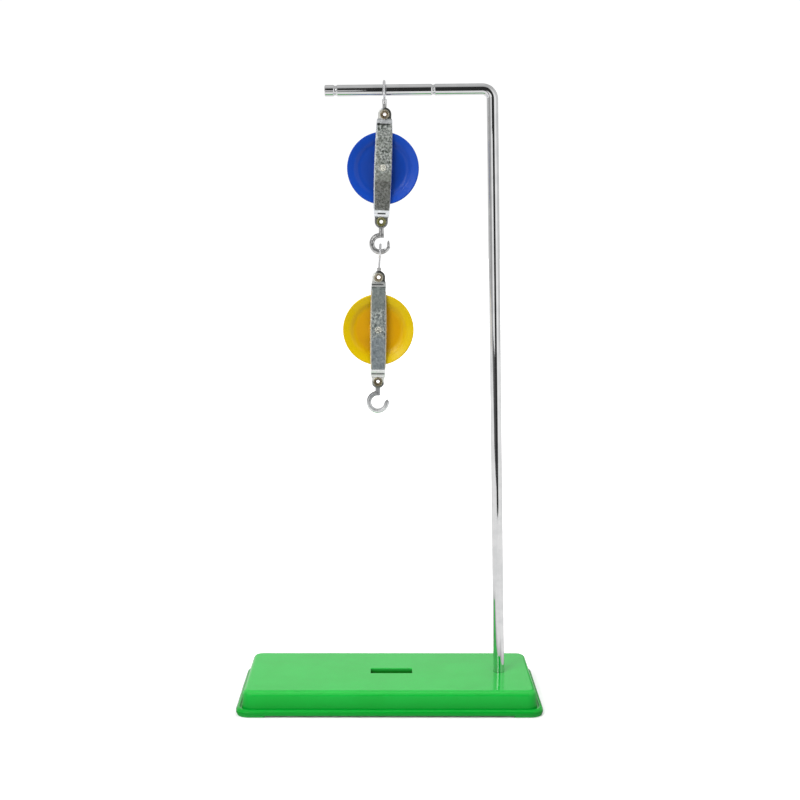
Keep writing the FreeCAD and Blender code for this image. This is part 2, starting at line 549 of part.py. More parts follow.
def strap(tag, side, where, width, bulge):
    """Sheet strap: bent along its length, then cut to its outline."""
    body = new_body("%s_%s_strap" % (tag, side), where)
    q = "-" if side == "front" else ""
    neg = "" if side == "front" else "-"
    phi = math.atan2(S["face_out"] - S["tab_out"], S["joggle_high"] - S["joggle_low"])
    step = repr(round(S["sheet_thick"] * math.tan(phi / 2), 4))
    sk = new_sketch(body, "SideView", "YZ_Plane")
    face, tab = q + "face_out", q + "tab_out"
    face_in = q + "face_out" + (" + " if q else " - ") + "sheet_thick"
    tab_in = q + "tab_out" + (" + " if q else " - ") + "sheet_thick"
    top = "eye_half + tab_rad + 1"
    low = "-eye_half - tab_rad - 1"
    pts = [(tab, low), (tab, "-joggle_high"), (face, "-joggle_low"), (face, "joggle_low"), (tab, "joggle_high"), (tab, top),
           (tab_in, top), (tab_in, "joggle_high - " + step), (face_in, "joggle_low - " + step),
           (face_in, "-joggle_low + " + step), (tab_in, "-joggle_high + " + step), (tab_in, low)]
    polygon(sk, pts)
    sheet_pad = pad(body, "Sheet", sk, "2*bulge_room", midplane=True)

    def bend(names, y, z):
        return lambda e, m: abs(abs(m.y) - y) < 1e-3 and abs(abs(m.z) - z) < 1e-3 and e.BoundBox.XLength > 5
    s0 = float(step)
    wide = (edges(sheet_pad, bend(0, S["face_out"], S["joggle_low"])) +
            edges(sheet_pad, bend(0, S["tab_out"] - S["sheet_thick"], S["joggle_high"] - s0)))
    outer = fillet(body, "OuterBends", sheet_pad, wide, "bend_outer")
    tight = (edges(outer, bend(0, S["tab_out"], S["joggle_high"])) +
             edges(outer, bend(0, S["face_out"] - S["sheet_thick"], S["joggle_low"] - s0)))
    inner = fillet(body, "InnerBends", outer, tight, "bend_inner")

    cut = new_sketch(body, "Blank", "XZ_Plane")
    room_x, room_z = "2*bulge_room", "eye_half + tab_rad + 3"
    polygon(cut, [("-" + room_x, "-eye_half - tab_rad - 3"), (room_x, "-eye_half - tab_rad - 3"), (room_x, room_z), ("-" + room_x, room_z)])
    half_w, half_b, half_t = val(width) / 2, val(bulge) / 2, S["tab_half"]
    zt, zw = S["shoulder_high"], S["shoulder_low"]
    sag = half_b - half_w
    side_r = (zw * zw + sag * sag) / (2 * sag)
    eye = S["eye_half"]
    pts = [(half_w, -zw), (half_w, zw), (half_t, zt), (half_t, eye), (-half_t, eye), (-half_t, zt),
           (-half_w, zw), (-half_w, -zw), (-half_t, -zt), (-half_t, -eye), (half_t, -eye), (half_t, -zt)]
    f = outline(cut, pts, {0: (half_b - side_r, 0), 3: (0, eye), 6: (side_r - half_b, 0), 9: (0, -eye)})
    wide_x = half(width)
    for index, (px, pz) in enumerate([(wide_x, "-shoulder_low"), (wide_x, "shoulder_low"), ("tab_half", "shoulder_high"),
                                      ("tab_half", "eye_half"), ("-tab_half", "eye_half"), ("-tab_half", "shoulder_high"),
                                      ("-" + wide_x, "shoulder_low"), ("-" + wide_x, "-shoulder_low"),
                                      ("-tab_half", "-shoulder_high"), ("-tab_half", "-eye_half"), ("tab_half", "-eye_half"),
                                      ("tab_half", "-shoulder_high")]):
        tie(cut, "DistanceX", -1, 1, f + index, 1, px)
        tie(cut, "DistanceY", -1, 1, f + index, 1, pz)
    tie(cut, "DistanceY", -1, 1, f + 3, 3, "eye_half")
    tie(cut, "DistanceY", -1, 1, f + 9, 3, "-eye_half")
    for g in (0, 6):
        cut.addConstraint(C("Radius", f + g, side_r))
    doc.recompute()
    blank = pocket(body, "BlankCut", cut, None, midplane=True)
    holes = new_sketch(body, "Holes", "XZ_Plane")
    circle(holes, 0, 0, "axle_hole")
    circle(holes, 0, "eye_half", "tab_hole")
    circle(holes, 0, "-eye_half", "tab_hole")
    drilled = pocket(body, "HolesCut", holes, None, midplane=True)
    return body, drilled


def axle(tag, where):
    body = new_body("%s_axle" % tag, where)
    sk = new_sketch(body, "Section", "YZ_Plane")
    polygon(sk, [("-face_out - head_thick", 0), ("face_out + head_thick", 0), ("face_out + head_thick", "head_flat"),
                 ("face_out", "head_rad"), ("face_out", "journal_rad"), ("face_out - sheet_thick", "journal_rad"),
                 ("face_out - sheet_thick", "axle_rad"), ("-face_out + sheet_thick", "axle_rad"),
                 ("-face_out + sheet_thick", "journal_rad"), ("-face_out", "journal_rad"), ("-face_out", "head_rad"),
                 ("-face_out - head_thick", "head_flat")])
    turned = revolve(body, "Turned", sk, "H_Axis")
    crown = edges(turned, lambda e, m: is_circle(e, S["head_flat"]))
    dome = fillet(body, "HeadDome", turned, crown, "head_dome")
    last = dome
    for n, sign in enumerate((-1, 1)):
        sk = new_sketch(body, "Stake%d" % n, "XZ_Plane")
        off = "%sSizes.face_out%sSizes.head_thick" % (("", " + ") if sign < 0 else ("-", " - "))
        sk.setExpression("AttachmentOffset.Base.z", off)
        polygon(sk, [("stake_in", "-stake_wide/2"), ("head_rad + 0.5", "-stake_wide/2"),
                     ("head_rad + 0.5", "stake_wide/2"), ("stake_in", "stake_wide/2")])
        doc.recompute()
        notch = pocket(body, "StakeCut%d" % n, sk, "stake_deep", reverse=sign > 0)
        ring = body.newObject("PartDesign::PolarPattern", "StakeRing%d" % n)
        ring.Originals = [notch]
        ring.Axis = (sk, ["N_Axis"])
        ring.Angle = 360
        ring.Occurrences = 4
        body.Tip = ring
        doc.recompute()
        last = ring
    return body


def wheel(tag, where):
    body = new_body("%s_wheel" % tag, where)
    sk = new_sketch(body, "Section", "YZ_Plane")
    polygon(sk, [("-hub_half", "bore_rad"), ("hub_half", "bore_rad"), ("hub_half", "hub_rad"), ("web_half", "hub_foot"),
                 ("web_half", "dish_in"), ("dish_half", "dish_rim"), ("wheel_half", "rim_edge"), ("wheel_half - 0.05", "wheel_rad"),
                 ("groove_mouth", "wheel_rad"), ("groove_flat", "groove_bottom"), ("-groove_flat", "groove_bottom"),
                 ("-groove_mouth", "wheel_rad"), ("-wheel_half + 0.05", "wheel_rad"), ("-wheel_half", "rim_edge"),
                 ("-dish_half", "dish_rim"), ("-web_half", "dish_in"), ("-web_half", "hub_foot"), ("-hub_half", "hub_rad")])
    turned = revolve(body, "Moulded", sk, "H_Axis")

    def ring(radius, y):
        return lambda e, m: is_circle(e, radius) and abs(abs(m.y) - y) < 2e-3
    last = turned
    for name, tests, size in (
            ("HubFillet", [(S["hub_foot"], S["web_half"])], "hub_fillet"),
            ("DishFoot", [(S["dish_in"], S["web_half"])], "dish_foot"),
            ("DishLip", [(S["dish_rim"], S["dish_half"])], "dish_lip"),
            ("GrooveBed", [(S["groove_bottom"], S["groove_flat"])], "groove_bed"),
            ("RimOuter", [(S["wheel_rad"], S["wheel_half"] - 0.05)], "rim_outer"),
            ("RimInner", [(S["wheel_rad"], S["groove_mouth"])], "rim_inner"),
            ("HubEdge", [(S["hub_rad"], S["hub_half"])], "hub_edge")):
        found = []
        for radius, y in tests:
            found += edges(last, ring(radius, y))
        last = fillet(body, name, last, found, size)
    return body


def wire_hook(tag, where, crown):
    """Bent wire hook.  Its origin is the axis of the bar that it hangs on."""
    body = new_body("%s_wire_hook" % tag, where)
    zc, r0, fl = S[crown], S[crown + "_rad"], math.radians(S[tag_size(tag, "flank")])
    out = math.radians(S["leg_turn"])
    rb, rs = S["leg_bend"], S["stem_bend"]
    zb = zc - S["hook_tail"]                               # end of the tail
    front = V(-r0 * math.cos(fl), zc + r0 * math.sin(fl), 0)
    rear = V(-front.x, front.y, 0)
    down = V(-math.sin(fl), -math.cos(fl), 0)
    knee = front + down * S["leg_len"]
    cb = knee + V(math.cos(fl), -math.sin(fl), 0) * rb
    heel = cb + V(-math.cos(out), -math.sin(out), 0) * rb
    run = V(math.sin(out), -math.cos(out), 0)
    # the S-bend ends on the stem's line, y = 0
    lead = (-rs * (1 - math.cos(out)) - heel.x) / run.x
    toe = heel + run * lead
    cs = V(-rs, toe.y - rs * math.sin(out), 0)
    top_of_stem = V(0, cs.y, 0)
    crown_top = -(S["up_reach"] if tag == "upper" else S["low_reach"]) + S["yoke_crown"]
    foot = V(0, crown_top - S["crown_thick"] - S["stem_head_thick"] - S["swivel_play"], 0)
    tail = rear + V(math.sin(fl), -math.cos(fl), 0) * ((rear.y - zb) / math.cos(fl))
    path = new_sketch(body, "WirePath", "YZ_Plane")
    add = path.addGeometry
    arc = lambda c, r, s0, s1: Part.ArcOfCircle(Part.Circle(c, V(0, 0, 1), r), s0, s1)
    add(Part.LineSegment(foot, top_of_stem), False)                              # 0 stem
    add(arc(cs, rs, 0, out), False)                                              # 1 S-bend, lower
    add(Part.LineSegment(toe, heel), False)                                      # 2
    add(arc(cb, rb, math.pi - fl, math.pi + out), False)                         # 3 S-bend, upper
    add(Part.LineSegment(knee, front), False)                                    # 4 front leg
    add(arc(V(0, zc, 0), r0, fl, math.pi - fl), False)                           # 5 crown
    add(Part.LineSegment(rear, tail), False)                                     # 6 tail
    for g1, p1, g2, p2 in ((0, 2, 1, 1), (1, 2, 2, 1), (2, 2, 3, 2), (3, 1, 4, 1), (4, 2, 5, 2), (5, 1, 6, 1)):
        path.addConstraint(C("Tangent", g1, p1, g2, p2))
    path.addConstraint(C("PointOnObject", 0, 1, -2))
    path.addConstraint(C("Vertical", 0))
    path.addConstraint(C("PointOnObject", 5, 3, -2))
    tie(path, "DistanceY", -1, 1, 5, 3, crown)
    tie(path, "Radius", 5, crown + "_rad")
    tie(path, "Radius", 3, "leg_bend")
    tie(path, "Radius", 1, "stem_bend")
    doc.recompute()
    prof = new_sketch(body, "WireSection", "XY_Plane", foot.y)
    reach = "up_reach" if tag == "upper" else "low_reach"
    prof.setExpression("AttachmentOffset.Base.z", "-Sizes.%s + Sizes.yoke_crown - Sizes.crown_thick - Sizes.stem_head_thick - Sizes.swivel_play" % reach)
    tie(path, "DistanceY", -1, 1, 0, 1, "-%s + yoke_crown - crown_thick - stem_head_thick - swivel_play" % reach)
    tie(path, "DistanceY", -1, 1, 6, 2, crown + " - hook_tail")
    tie(path, "Distance", 4, 1, 4, 2, "leg_len")
    circle(prof, 0, 0, "wire_rad")
    doc.recompute()
    sweep = body.newObject("PartDesign::AdditivePipe", "WireSweep")
    sweep.Profile = prof
    sweep.Spine = (path, ["Edge%d" % n for n in range(1, 8)])
    length = ((top_of_stem - foot).Length + rs * out + lead + rb * (fl + out) + S["leg_len"] +
              r0 * (math.pi - 2 * fl) + (tail - rear).Length)
    print(tag, "wire sweep", volume(body), "expected", math.pi * S["wire_rad"] ** 2 * length)
    head_sk = new_sketch(body, "HeadSection", "XY_Plane", foot.y)
    head_sk.setExpression("AttachmentOffset.Base.z", "-Sizes.%s + Sizes.yoke_crown - Sizes.crown_thick - Sizes.stem_head_thick - Sizes.swivel_play" % reach)
    circle(head_sk, 0, 0, "stem_head")
    head = pad(body, "StemHead", head_sk, "stem_head_thick")
    rims = edges(head, lambda e, m: is_circle(e, S["stem_head"]))
    head = fillet(body, "HeadRound", head, rims, "wire_chamfer")
    ends = edges(head, lambda e, m: is_circle(e, S["wire_rad"]) and e.Curve.Center.y > 2.5 and abs(e.Curve.Center.z - tail.y) < 0.5)
    fillet(body, "TailRound", head, ends, "wire_chamfer")
    return body


def collar(tag, where):
    body = new_body("%s_hook_collar" % tag, where)
    sk = new_sketch(body, "Section", "XY_Plane")
    sk.setExpression("AttachmentOffset.Base.z", "-Sizes.up_reach + Sizes.yoke_crown + Sizes.collar_lift")
    circle(sk, 0, 0, "collar_rad")
    circle(sk, 0, 0, "collar_bore")
    sleeve = pad(body, "Sleeve", sk, "collar_len")
    fillet(body, "SleeveRound", sleeve, edges(sleeve, lambda e, m: is_circle(e, S["collar_rad"])), "collar_round")
    return body


def yoke(tag, where):
    """U-shaped swivel yoke; its origin is the eyelet's axis."""
    body = new_body("%s_yoke" % tag, where)
    sk = new_sketch(body, "SideView", "YZ_Plane")
    polygon(sk, [("-yoke_half", "-yoke_eye - 1"), ("-yoke_gap", "-yoke_eye - 1"), ("-yoke_gap", "yoke_crown - crown_thick"),
                 ("yoke_gap", "yoke_crown - crown_thick"), ("yoke_gap", "-yoke_eye - 1"), ("yoke_half", "-yoke_eye - 1"),
                 ("yoke_half", "yoke_crown"), ("-yoke_half", "yoke_crown")])
    strip = pad(body, "Strip", sk, "2*yoke_eye + 2", midplane=True)
    outer = edges(strip, lambda e, m: abs(abs(m.y) - S["yoke_half"]) < 1e-3 and abs(m.z - S["yoke_crown"]) < 1e-3 and e.BoundBox.XLength > 3)
    bent = fillet(body, "CrownBend", strip, outer, "yoke_bend")
    cut = new_sketch(body, "Blank", "XZ_Plane")
    polygon(cut, [("-2*yoke_eye", "-2*yoke_eye"), ("2*yoke_eye", "-2*yoke_eye"), ("2*yoke_eye", "yoke_crown + 2"), ("-2*yoke_eye", "yoke_crown + 2")])
    hz = math.sqrt(S["yoke_eye"] ** 2 - S["yoke_neck"] ** 2)
    f = outline(cut, [("yoke_neck", hz), ("yoke_neck", "yoke_crown + 1"), ("-yoke_neck", "yoke_crown + 1"), ("-yoke_neck", hz)], {3: (0, 0)})
    cut.addConstraint(C("Coincident", f + 3, 3, -1, 1))
    tie(cut, "Radius", f + 3, "yoke_eye")
    cut.addConstraint(C("Horizontal", f + 1))
    tie(cut, "DistanceY", -1, 1, f + 1, 1, "yoke_crown + 1")
    tie(cut, "DistanceX", -1, 1, f, 1, "yoke_neck")
    tie(cut, "DistanceX", -1, 1, f + 1, 1, "yoke_neck")
    tie(cut, "DistanceX", -1, 1, f + 1, 2, "-yoke_neck")
    tie(cut, "DistanceX", -1, 1, f + 3, 1, "-yoke_neck")
    doc.recompute()
    pocket(body, "BlankCut", cut, None, midplane=True)
    hole = new_sketch(body, "EyeHole", "XZ_Plane")
    circle(hole, 0, 0, "yoke_hole")
    pocket(body, "EyeHoleCut", hole, None, midplane=True)
    hole = new_sketch(body, "StemHole", "XY_Plane", "Sizes.yoke_crown - Sizes.crown_thick")
    circle(hole, 0, 0, "stem_hole")
    pocket(body, "StemHoleCut", hole, "crown_thick + 0.5", reverse=True)
    return body


def c_hook(tag, where, ring, drop, side, tip, shank, corner):
    """Round-stock hook; its origin is the eyelet's axis."""
    body = new_body("%s_c_hook" % tag, where)
    sk = new_sketch(body, "Eye", "XZ_Plane")
    circle(sk, 0, 0, "eye_rad")
    eye = pad(body, "EyeDisc", sk, "eye_thick", midplane=True)
    fillet(body, "EyeRound", eye, edges(eye, lambda e, m: is_circle(e, S["eye_rad"])), "eye_round")
    sk = new_sketch(body, "Ring", "XY_Plane")
    sk.AttachmentOffset = FreeCAD.Placement(V(S[side], 0, -S[drop]), FreeCAD.Rotation(V(0, 1, 0), -S[tip]))
    sk.setExpression("AttachmentOffset.Base.x", "Sizes." + side)
    sk.setExpression("AttachmentOffset.Base.z", "-Sizes." + drop)
    circle(sk, ring, 0, "stock_rad")
    revolve(body, "RingBend", sk, "V_Axis", angle=360 + S[tip] - S[corner])
    # the shank's square end stands flush with the inside of the ring
    sk = new_sketch(body, "Shank", "XY_Plane", "-Sizes.%s + Sizes.%s - Sizes.stock_rad + Sizes.corner_step" % (drop, ring))
    circle(sk, shank, 0, "stock_rad")
    pad(body, "ShankPad", sk, "%s - %s + stock_rad - corner_step - 2.5" % (drop, ring))
    # the free end is turned down to a blunt point
    k = tag_size(tag, "")
    sk = new_sketch(body, "PointSection", "XZ_Plane")
    sk.AttachmentOffset = FreeCAD.Placement(V(S[side] + S[k + "point_axis"], -S[drop], 0), FreeCAD.Rotation())
    sk.setExpression("AttachmentOffset.Base.x", "Sizes.%s + Sizes.%spoint_axis" % (side, k))
    sk.setExpression("AttachmentOffset.Base.y", "-Sizes." + drop)
    polygon(sk, [(k + "point_out", k + "point_foot"), (k + "point_wide", k + "point_low"), (k + "neck_rad", k + "neck_low"),
                 (k + "nose_wide", k + "nose_low"), (k + "nose_rad", k + "nose_top"), (k + "nose_rad", "point_clear"),
                 (k + "point_out", "point_clear")])
    doc.recompute()
    revolve(body, "PointTurn", sk, "V_Axis", groove=True)
    sk = new_sketch(body, "EyeHole", "XZ_Plane")
    circle(sk, 0, 0, "eye_hole")
    pocket(body, "EyeHoleCut", sk, None, midplane=True)
    return body


def tag_size(tag, name):
    return ("up_" if tag == "upper" else "low_") + name


def at(x, z, lean=0.0, yaw=0.0):
    turn_y = FreeCAD.Rotation(V(0, 1, 0), lean)
    return FreeCAD.Placement(V(x, 0, z), turn_y.multiply(FreeCAD.Rotation(V(0, 0, 1), yaw)))


def block(tag, bar_x, bar_z):
    """One block with its hooks.  bar_x, bar_z: axis of the bar that its wire hook hangs on."""
    k = "up_" if tag == "upper" else "low_"
    x, z, lean = S[k + "x"], S[k + "z"], S[k + "lean"]
    frame = at(x, z, lean)
    top = frame.multVec(V(0, 0, S["eye_half"]))
    bottom = frame.multVec(V(0, 0, -S["eye_half"]))
    hang = S[k + "hook_lean"]
    wire = wire_hook(tag, at(bar_x, bar_z, hang, S[k + "hook_yaw"]), k + "crown")
    if tag == "upper":
        collar(tag, at(bar_x, bar_z, hang))
    yoke(tag, at(top.x, top.z, hang))
    for side in ("front", "rear"):
        strap(tag, side, frame, k + "width", k + "bulge")
    axle(tag, frame)
    wheel(tag, frame)
    eyelet(tag, "top", frame)
    eyelet(tag, "bottom", frame)
    c_hook(tag, at(bottom.x, bottom.z), k + "ring", k + "drop", k + "side", k + "tip", k + "shank", k + "corner")
    print(tag, "top eyelet", top, "bottom eyelet", bottom)
    return bottom


along = S["groove_first"] + S["groove_step"]
bottom = block("upper", S["arm_end_x"] + along * math.cos(b), S["arm_end_z"] + along * math.sin(b))
block("lower", bottom.x + S["up_side"], bottom.z - S["up_drop"] - S["up_ring"])

# ------------------------------------------------------------------- write-out

doc.recompute()
for obj in doc.Objects:
    if "Invalid" in obj.State or "Error" in obj.State:
        raise RuntimeError("%s failed: %s" % (obj.Label, obj.State))
os.makedirs("parts", exist_ok=True)
for name, body in PARTS:
    shape = body.Shape
    if shape.isNull() or not shape.isValid() or len(shape.Solids) != 1:
        raise RuntimeError("%s is not one valid solid" % name)
    shape.exportStep("parts/%s.step" % name)
    box = shape.BoundBox
    print("%-22s %9.1f mm3  x %7.2f..%7.2f  y %6.2f..%6.2f  z %7.2f..%7.2f" %
          (name, shape.Volume, box.XMin, box.XMax, box.YMin, box.YMax, box.ZMin, box.ZMax))
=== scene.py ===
import bmesh
import bpy
import json
import math
from mathutils import Matrix, Vector, noise
from mathutils.geometry import delaunay_2d_cdt

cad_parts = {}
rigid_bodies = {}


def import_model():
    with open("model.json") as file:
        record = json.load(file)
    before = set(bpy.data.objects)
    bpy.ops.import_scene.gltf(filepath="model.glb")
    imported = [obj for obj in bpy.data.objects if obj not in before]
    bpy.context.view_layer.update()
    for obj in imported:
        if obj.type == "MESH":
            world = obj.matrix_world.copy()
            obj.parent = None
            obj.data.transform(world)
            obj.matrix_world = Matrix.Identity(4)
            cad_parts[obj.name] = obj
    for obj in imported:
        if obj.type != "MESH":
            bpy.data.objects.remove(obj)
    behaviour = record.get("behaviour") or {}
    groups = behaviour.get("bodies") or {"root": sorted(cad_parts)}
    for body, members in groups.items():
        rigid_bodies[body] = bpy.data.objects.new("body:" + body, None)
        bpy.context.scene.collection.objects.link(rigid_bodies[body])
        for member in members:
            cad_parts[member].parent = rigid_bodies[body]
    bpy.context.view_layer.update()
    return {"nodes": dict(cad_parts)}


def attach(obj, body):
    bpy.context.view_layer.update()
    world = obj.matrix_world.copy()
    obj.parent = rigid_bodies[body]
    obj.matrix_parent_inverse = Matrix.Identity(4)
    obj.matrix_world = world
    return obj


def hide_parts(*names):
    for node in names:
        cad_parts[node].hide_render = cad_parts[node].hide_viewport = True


for left_over in list(bpy.data.objects):
    bpy.data.objects.remove(left_over)
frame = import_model()
NODES = frame["nodes"]
MM = 0.001
scene = bpy.context.scene


# ---------------------------------------------------------------- node helpers

class Shader:
    """One procedural material.  Texture coordinates are the piece's own, in metres."""

    def __init__(self, name, **sockets):
        self.mat = bpy.data.materials.new(name)
        self.mat.use_nodes = True
        self.tree = self.mat.node_tree
        self.bsdf = self.tree.nodes["Principled BSDF"]
        for key, value in sockets.items():
            self.set(key, value)
        self.coord = self.tree.nodes.new("ShaderNodeTexCoord").outputs["Object"]

    def set(self, key, value):
        socket = self.bsdf.inputs[key.replace("_", " ")]
        if hasattr(value, "is_output"):
            self.tree.links.new(value, socket)
        elif isinstance(value, tuple) and len(value) == 3:
            socket.default_value = (*value, 1.0)
        else:
            socket.default_value = value

    def node(self, kind, inputs=None, **props):
        n = self.tree.nodes.new(kind)
        for key, value in props.items():
            setattr(n, key, value)
        for key, value in (inputs or {}).items():
            socket = n.inputs[key]
            if hasattr(value, "is_output"):
                self.tree.links.new(value, socket)
            else:
                socket.default_value = value
        return n

    def stretched(self, sx, sy, sz, offset=(0, 0, 0), turn=(0, 0, 0)):
        return self.node("ShaderNodeMapping", {"Vector": self.coord, "Scale": (sx, sy, sz), "Location": offset,
                                               "Rotation": turn}).outputs[0]

    def noise(self, scale, detail=2.0, rough=0.5, vector=None, distortion=0.0):
        return self.node("ShaderNodeTexNoise", {"Vector": vector or self.coord, "Scale": scale, "Detail": detail,
                                                "Roughness": rough, "Distortion": distortion}).outputs["Fac"]

    def cells(self, scale, vector=None, feature="F1", randomness=1.0):
        return self.node("ShaderNodeTexVoronoi", {"Vector": vector or self.coord, "Scale": scale,
                                                  "Randomness": randomness}, feature=feature).outputs["Distance"]

    def ramp(self, value, stops, smooth=True):
        n = self.node("ShaderNodeValToRGB", {"Fac": value})
        n.color_ramp.interpolation = "EASE" if smooth else "LINEAR"
        while len(n.color_ramp.elements) < len(stops):
            n.color_ramp.elements.new(0.5)
        for element, (at, col) in zip(n.color_ramp.elements, stops):
            element.position = at
            element.color = (*col, 1.0) if isinstance(col, tuple) else (col, col, col, 1.0)
        return n.outputs["Color"]

    def remap(self, value, a, b, c, d, clamp=True):
        return self.node("ShaderNodeMapRange", {"Value": value, "From Min": a, "From Max": b, "To Min": c, "To Max": d},
                         clamp=clamp).outputs["Result"]

    def math(self, op, a, b=0.0, clamp=False):
        n = self.node("ShaderNodeMath", operation=op, use_clamp=clamp)
        for socket, value in zip(n.inputs, (a, b)):
            if hasattr(value, "is_output"):
                self.tree.links.new(value, socket)
            else:
                socket.default_value = value
        return n.outputs[0]

    def mix(self, fac, a, b, kind="MIX"):
        n = self.tree.nodes.new("ShaderNodeMix")
        n.data_type = "RGBA"
        n.blend_type = kind
        for index, value in ((0, fac), (6, a), (7, b)):
            socket = n.inputs[index]
            if hasattr(value, "is_output"):
                self.tree.links.new(value, socket)
            elif index and isinstance(value, tuple):
                socket.default_value = (*value[:3], 1.0)
            else:
                socket.default_value = value
        return n.outputs[2]

    def bump(self, height, distance, strength=1.0, under=None):
        inputs = {"Height": height, "Distance": distance, "Strength": strength}
        if under is not None:
            inputs["Normal"] = under
        return self.node("ShaderNodeBump", inputs).outputs["Normal"]

    def axis(self, which):
        return self.node("ShaderNodeSeparateXYZ", {"Vector": self.coord}).outputs[which]

    def radius_xz(self, cx, cz):
        """Distance from a line along Y through (cx, cz), for marks that go round a wheel or a head."""
        n = self.node("ShaderNodeVectorMath", {0: self.coord, 1: (cx, 0.0, cz)}, operation="SUBTRACT")
        flat = self.node("ShaderNodeVectorMath", {0: n.outputs[0], 1: (1.0, 0.0, 1.0)}, operation="MULTIPLY")
        return self.node("ShaderNodeVectorMath", {0: flat.outputs[0]}, operation="LENGTH").outputs["Value"]

    def attribute(self, name):
        return self.node("ShaderNodeAttribute", attribute_name=name).outputs["Fac"]


def wear(material, *names):
    for name in names:
        NODES[name].data.materials.clear()
        NODES[name].data.materials.append(material.mat)


# ------------------------------------------------------------------- materials

def moulded(name, low, high, rough, peel=0.00006, light_and_shade=None, shine=0.3):
    """Glossy injection-moulded plastic: flow clouding, orange peel, fine handling scratches."""
    s = Shader(name, IOR=1.49, Specular_IOR_Level=shine)
    cloud = s.noise(38.0, 4.0, 0.55)
    colour = s.ramp(cloud, [(0.3, low), (0.7, high)])
    # painted light and shade laid over the plastic's own colour
    if light_and_shade:
        colour = light_and_shade(s, colour)
    s.set("Base_Color", colour)
    scuff = s.noise(1.0, 3.0, 0.6, vector=s.stretched(90, 1400, 90, turn=(0.0, 0.0, 0.5)))
    haze = s.noise(60.0, 3.0, 0.6)
    gloss = s.math("ADD", s.remap(haze, 0.3, 0.75, rough - 0.03, rough + 0.06), s.remap(scuff, 0.62, 0.74, 0.0, 0.12))
    s.set("Roughness", gloss)
    s.set("Normal", s.bump(s.noise(850.0, 2.0, 0.5), peel, 0.35))
    return s



def green_painted_light_and_shade(s, colour):
    """Painted light and shade on the green shell: painted shade towards the foot and in the slot, and a painted sheen
    on the bottom and upper edges.
    """
    # painted shade: the green deepens towards the foot of the shell
    colour = s.mix(s.remap(s.axis("Z"), 0.0030, 0.0140, 1.0, 0.0), colour, (0.0014, 0.285, 0.021))
    # painted light: the bottom edge is painted pale for the white floor's light on it, and the upper edge, more
    # lightly, for a painted sheen
    colour = s.mix(s.remap(s.axis("Z"), 0.0008, 0.0030, 0.85, 0.0), colour, (0.036, 0.40, 0.075))
    upper_edge_sheen = s.math("MULTIPLY", s.remap(s.axis("Z"), 0.0146, 0.0161, 0.0, 0.9), s.remap(s.axis("Z"), 0.0169, 0.01735, 1.0, 0.0))
    colour = s.mix(upper_edge_sheen, colour, (0.030, 0.420, 0.060))
    # painted shade: the inside of the slot is painted dark green
    across = s.math("ABSOLUTE", s.math("SUBTRACT", s.axis("X"), 0.0013))
    along = s.math("ABSOLUTE", s.math("SUBTRACT", s.axis("Y"), 0.0006))
    slot_shade = s.math("MULTIPLY", s.math("LESS_THAN", across, 0.0170), s.math("LESS_THAN", along, 0.0062))
    return s.mix(s.math("MULTIPLY", slot_shade, s.remap(s.axis("Z"), 0.0148, 0.0172, 1.0, 0.0)), colour, (0.0004, 0.165, 0.004))


green = moulded("green_plastic", (0.0022, 0.395, 0.034), (0.0035, 0.425, 0.041), 0.11, light_and_shade=green_painted_light_and_shade, shine=0.27)
wear(green, "base_shell")

UP_C = (-5.70 * MM, 380.3 * MM)
LOW_C = (-8.74 * MM, 267.7 * MM)


def blue_painted_rim_light(s, colour):
    # painted light and shade: the rim is painted a lighter blue than the dish, for light on the rim and shade in the
    # dish
    r = s.radius_xz(*UP_C)
    return s.mix(s.remap(r, 0.0120, 0.0225, 0.0, 1.0), colour, (0.0066, 0.049, 0.335))


def yellow_painted_rim_light(s, colour):
    # painted light and shade: the rim is painted lemon and the dish a deeper orange, for light through the rim and
    # shade in the dish
    r = s.radius_xz(*LOW_C)
    return s.mix(s.remap(r, 0.0145, 0.0215, 0.0, 1.0), colour, (0.55, 0.385, 0.001))


blue = moulded("blue_plastic", (0.0050, 0.033, 0.228), (0.0063, 0.039, 0.252), 0.13, light_and_shade=blue_painted_rim_light, shine=0.185)
yellow = moulded("yellow_plastic", (0.475, 0.232, 0.0004), (0.515, 0.260, 0.0007), 0.14, light_and_shade=yellow_painted_rim_light, shine=0.165)
wear(blue, "upper_wheel")
wear(yellow, "lower_wheel")

chrome = Shader("chrome_bar", Metallic=1.0)
chrome.set("Base_Color", chrome.ramp(chrome.noise(120.0, 3.0), [(0.35, (0.66, 0.665, 0.67)), (0.65, (0.72, 0.722, 0.725))]))
chrome.set("Roughness", chrome.remap(chrome.noise(240.0, 4.0, 0.6), 0.35, 0.75, 0.035, 0.085))
chrome.set("Normal", chrome.bump(chrome.noise(1.0, 2.0, 0.5, vector=chrome.stretched(260, 260, 60)), 0.00002, 0.5))
wear(chrome, "upright_rod")


def plated(name, dark, light, rough, grain=700.0, depth=0.00003, spots=0.0):
    """Small plated or drawn steel pieces: mottled sheen, drawing marks, dull spots."""
    s = Shader(name, Metallic=1.0)
    base = s.ramp(s.noise(grain, 4.0, 0.6), [(0.32, dark), (0.68, light)])
    if spots:
        stain = s.noise(grain * 0.6, 3.0, 0.65)
        base = s.mix(s.remap(stain, 0.56, 0.68, 0.0, spots), base, tuple(c * 0.35 for c in dark))
    s.set("Base_Color", base)
    s.set("Roughness", s.remap(s.noise(grain * 0.8, 3.0), 0.3, 0.7, rough - 0.06, rough + 0.1))
    s.set("Normal", s.bump(s.noise(grain * 1.4, 3.0, 0.6), depth, 0.5))
    return s


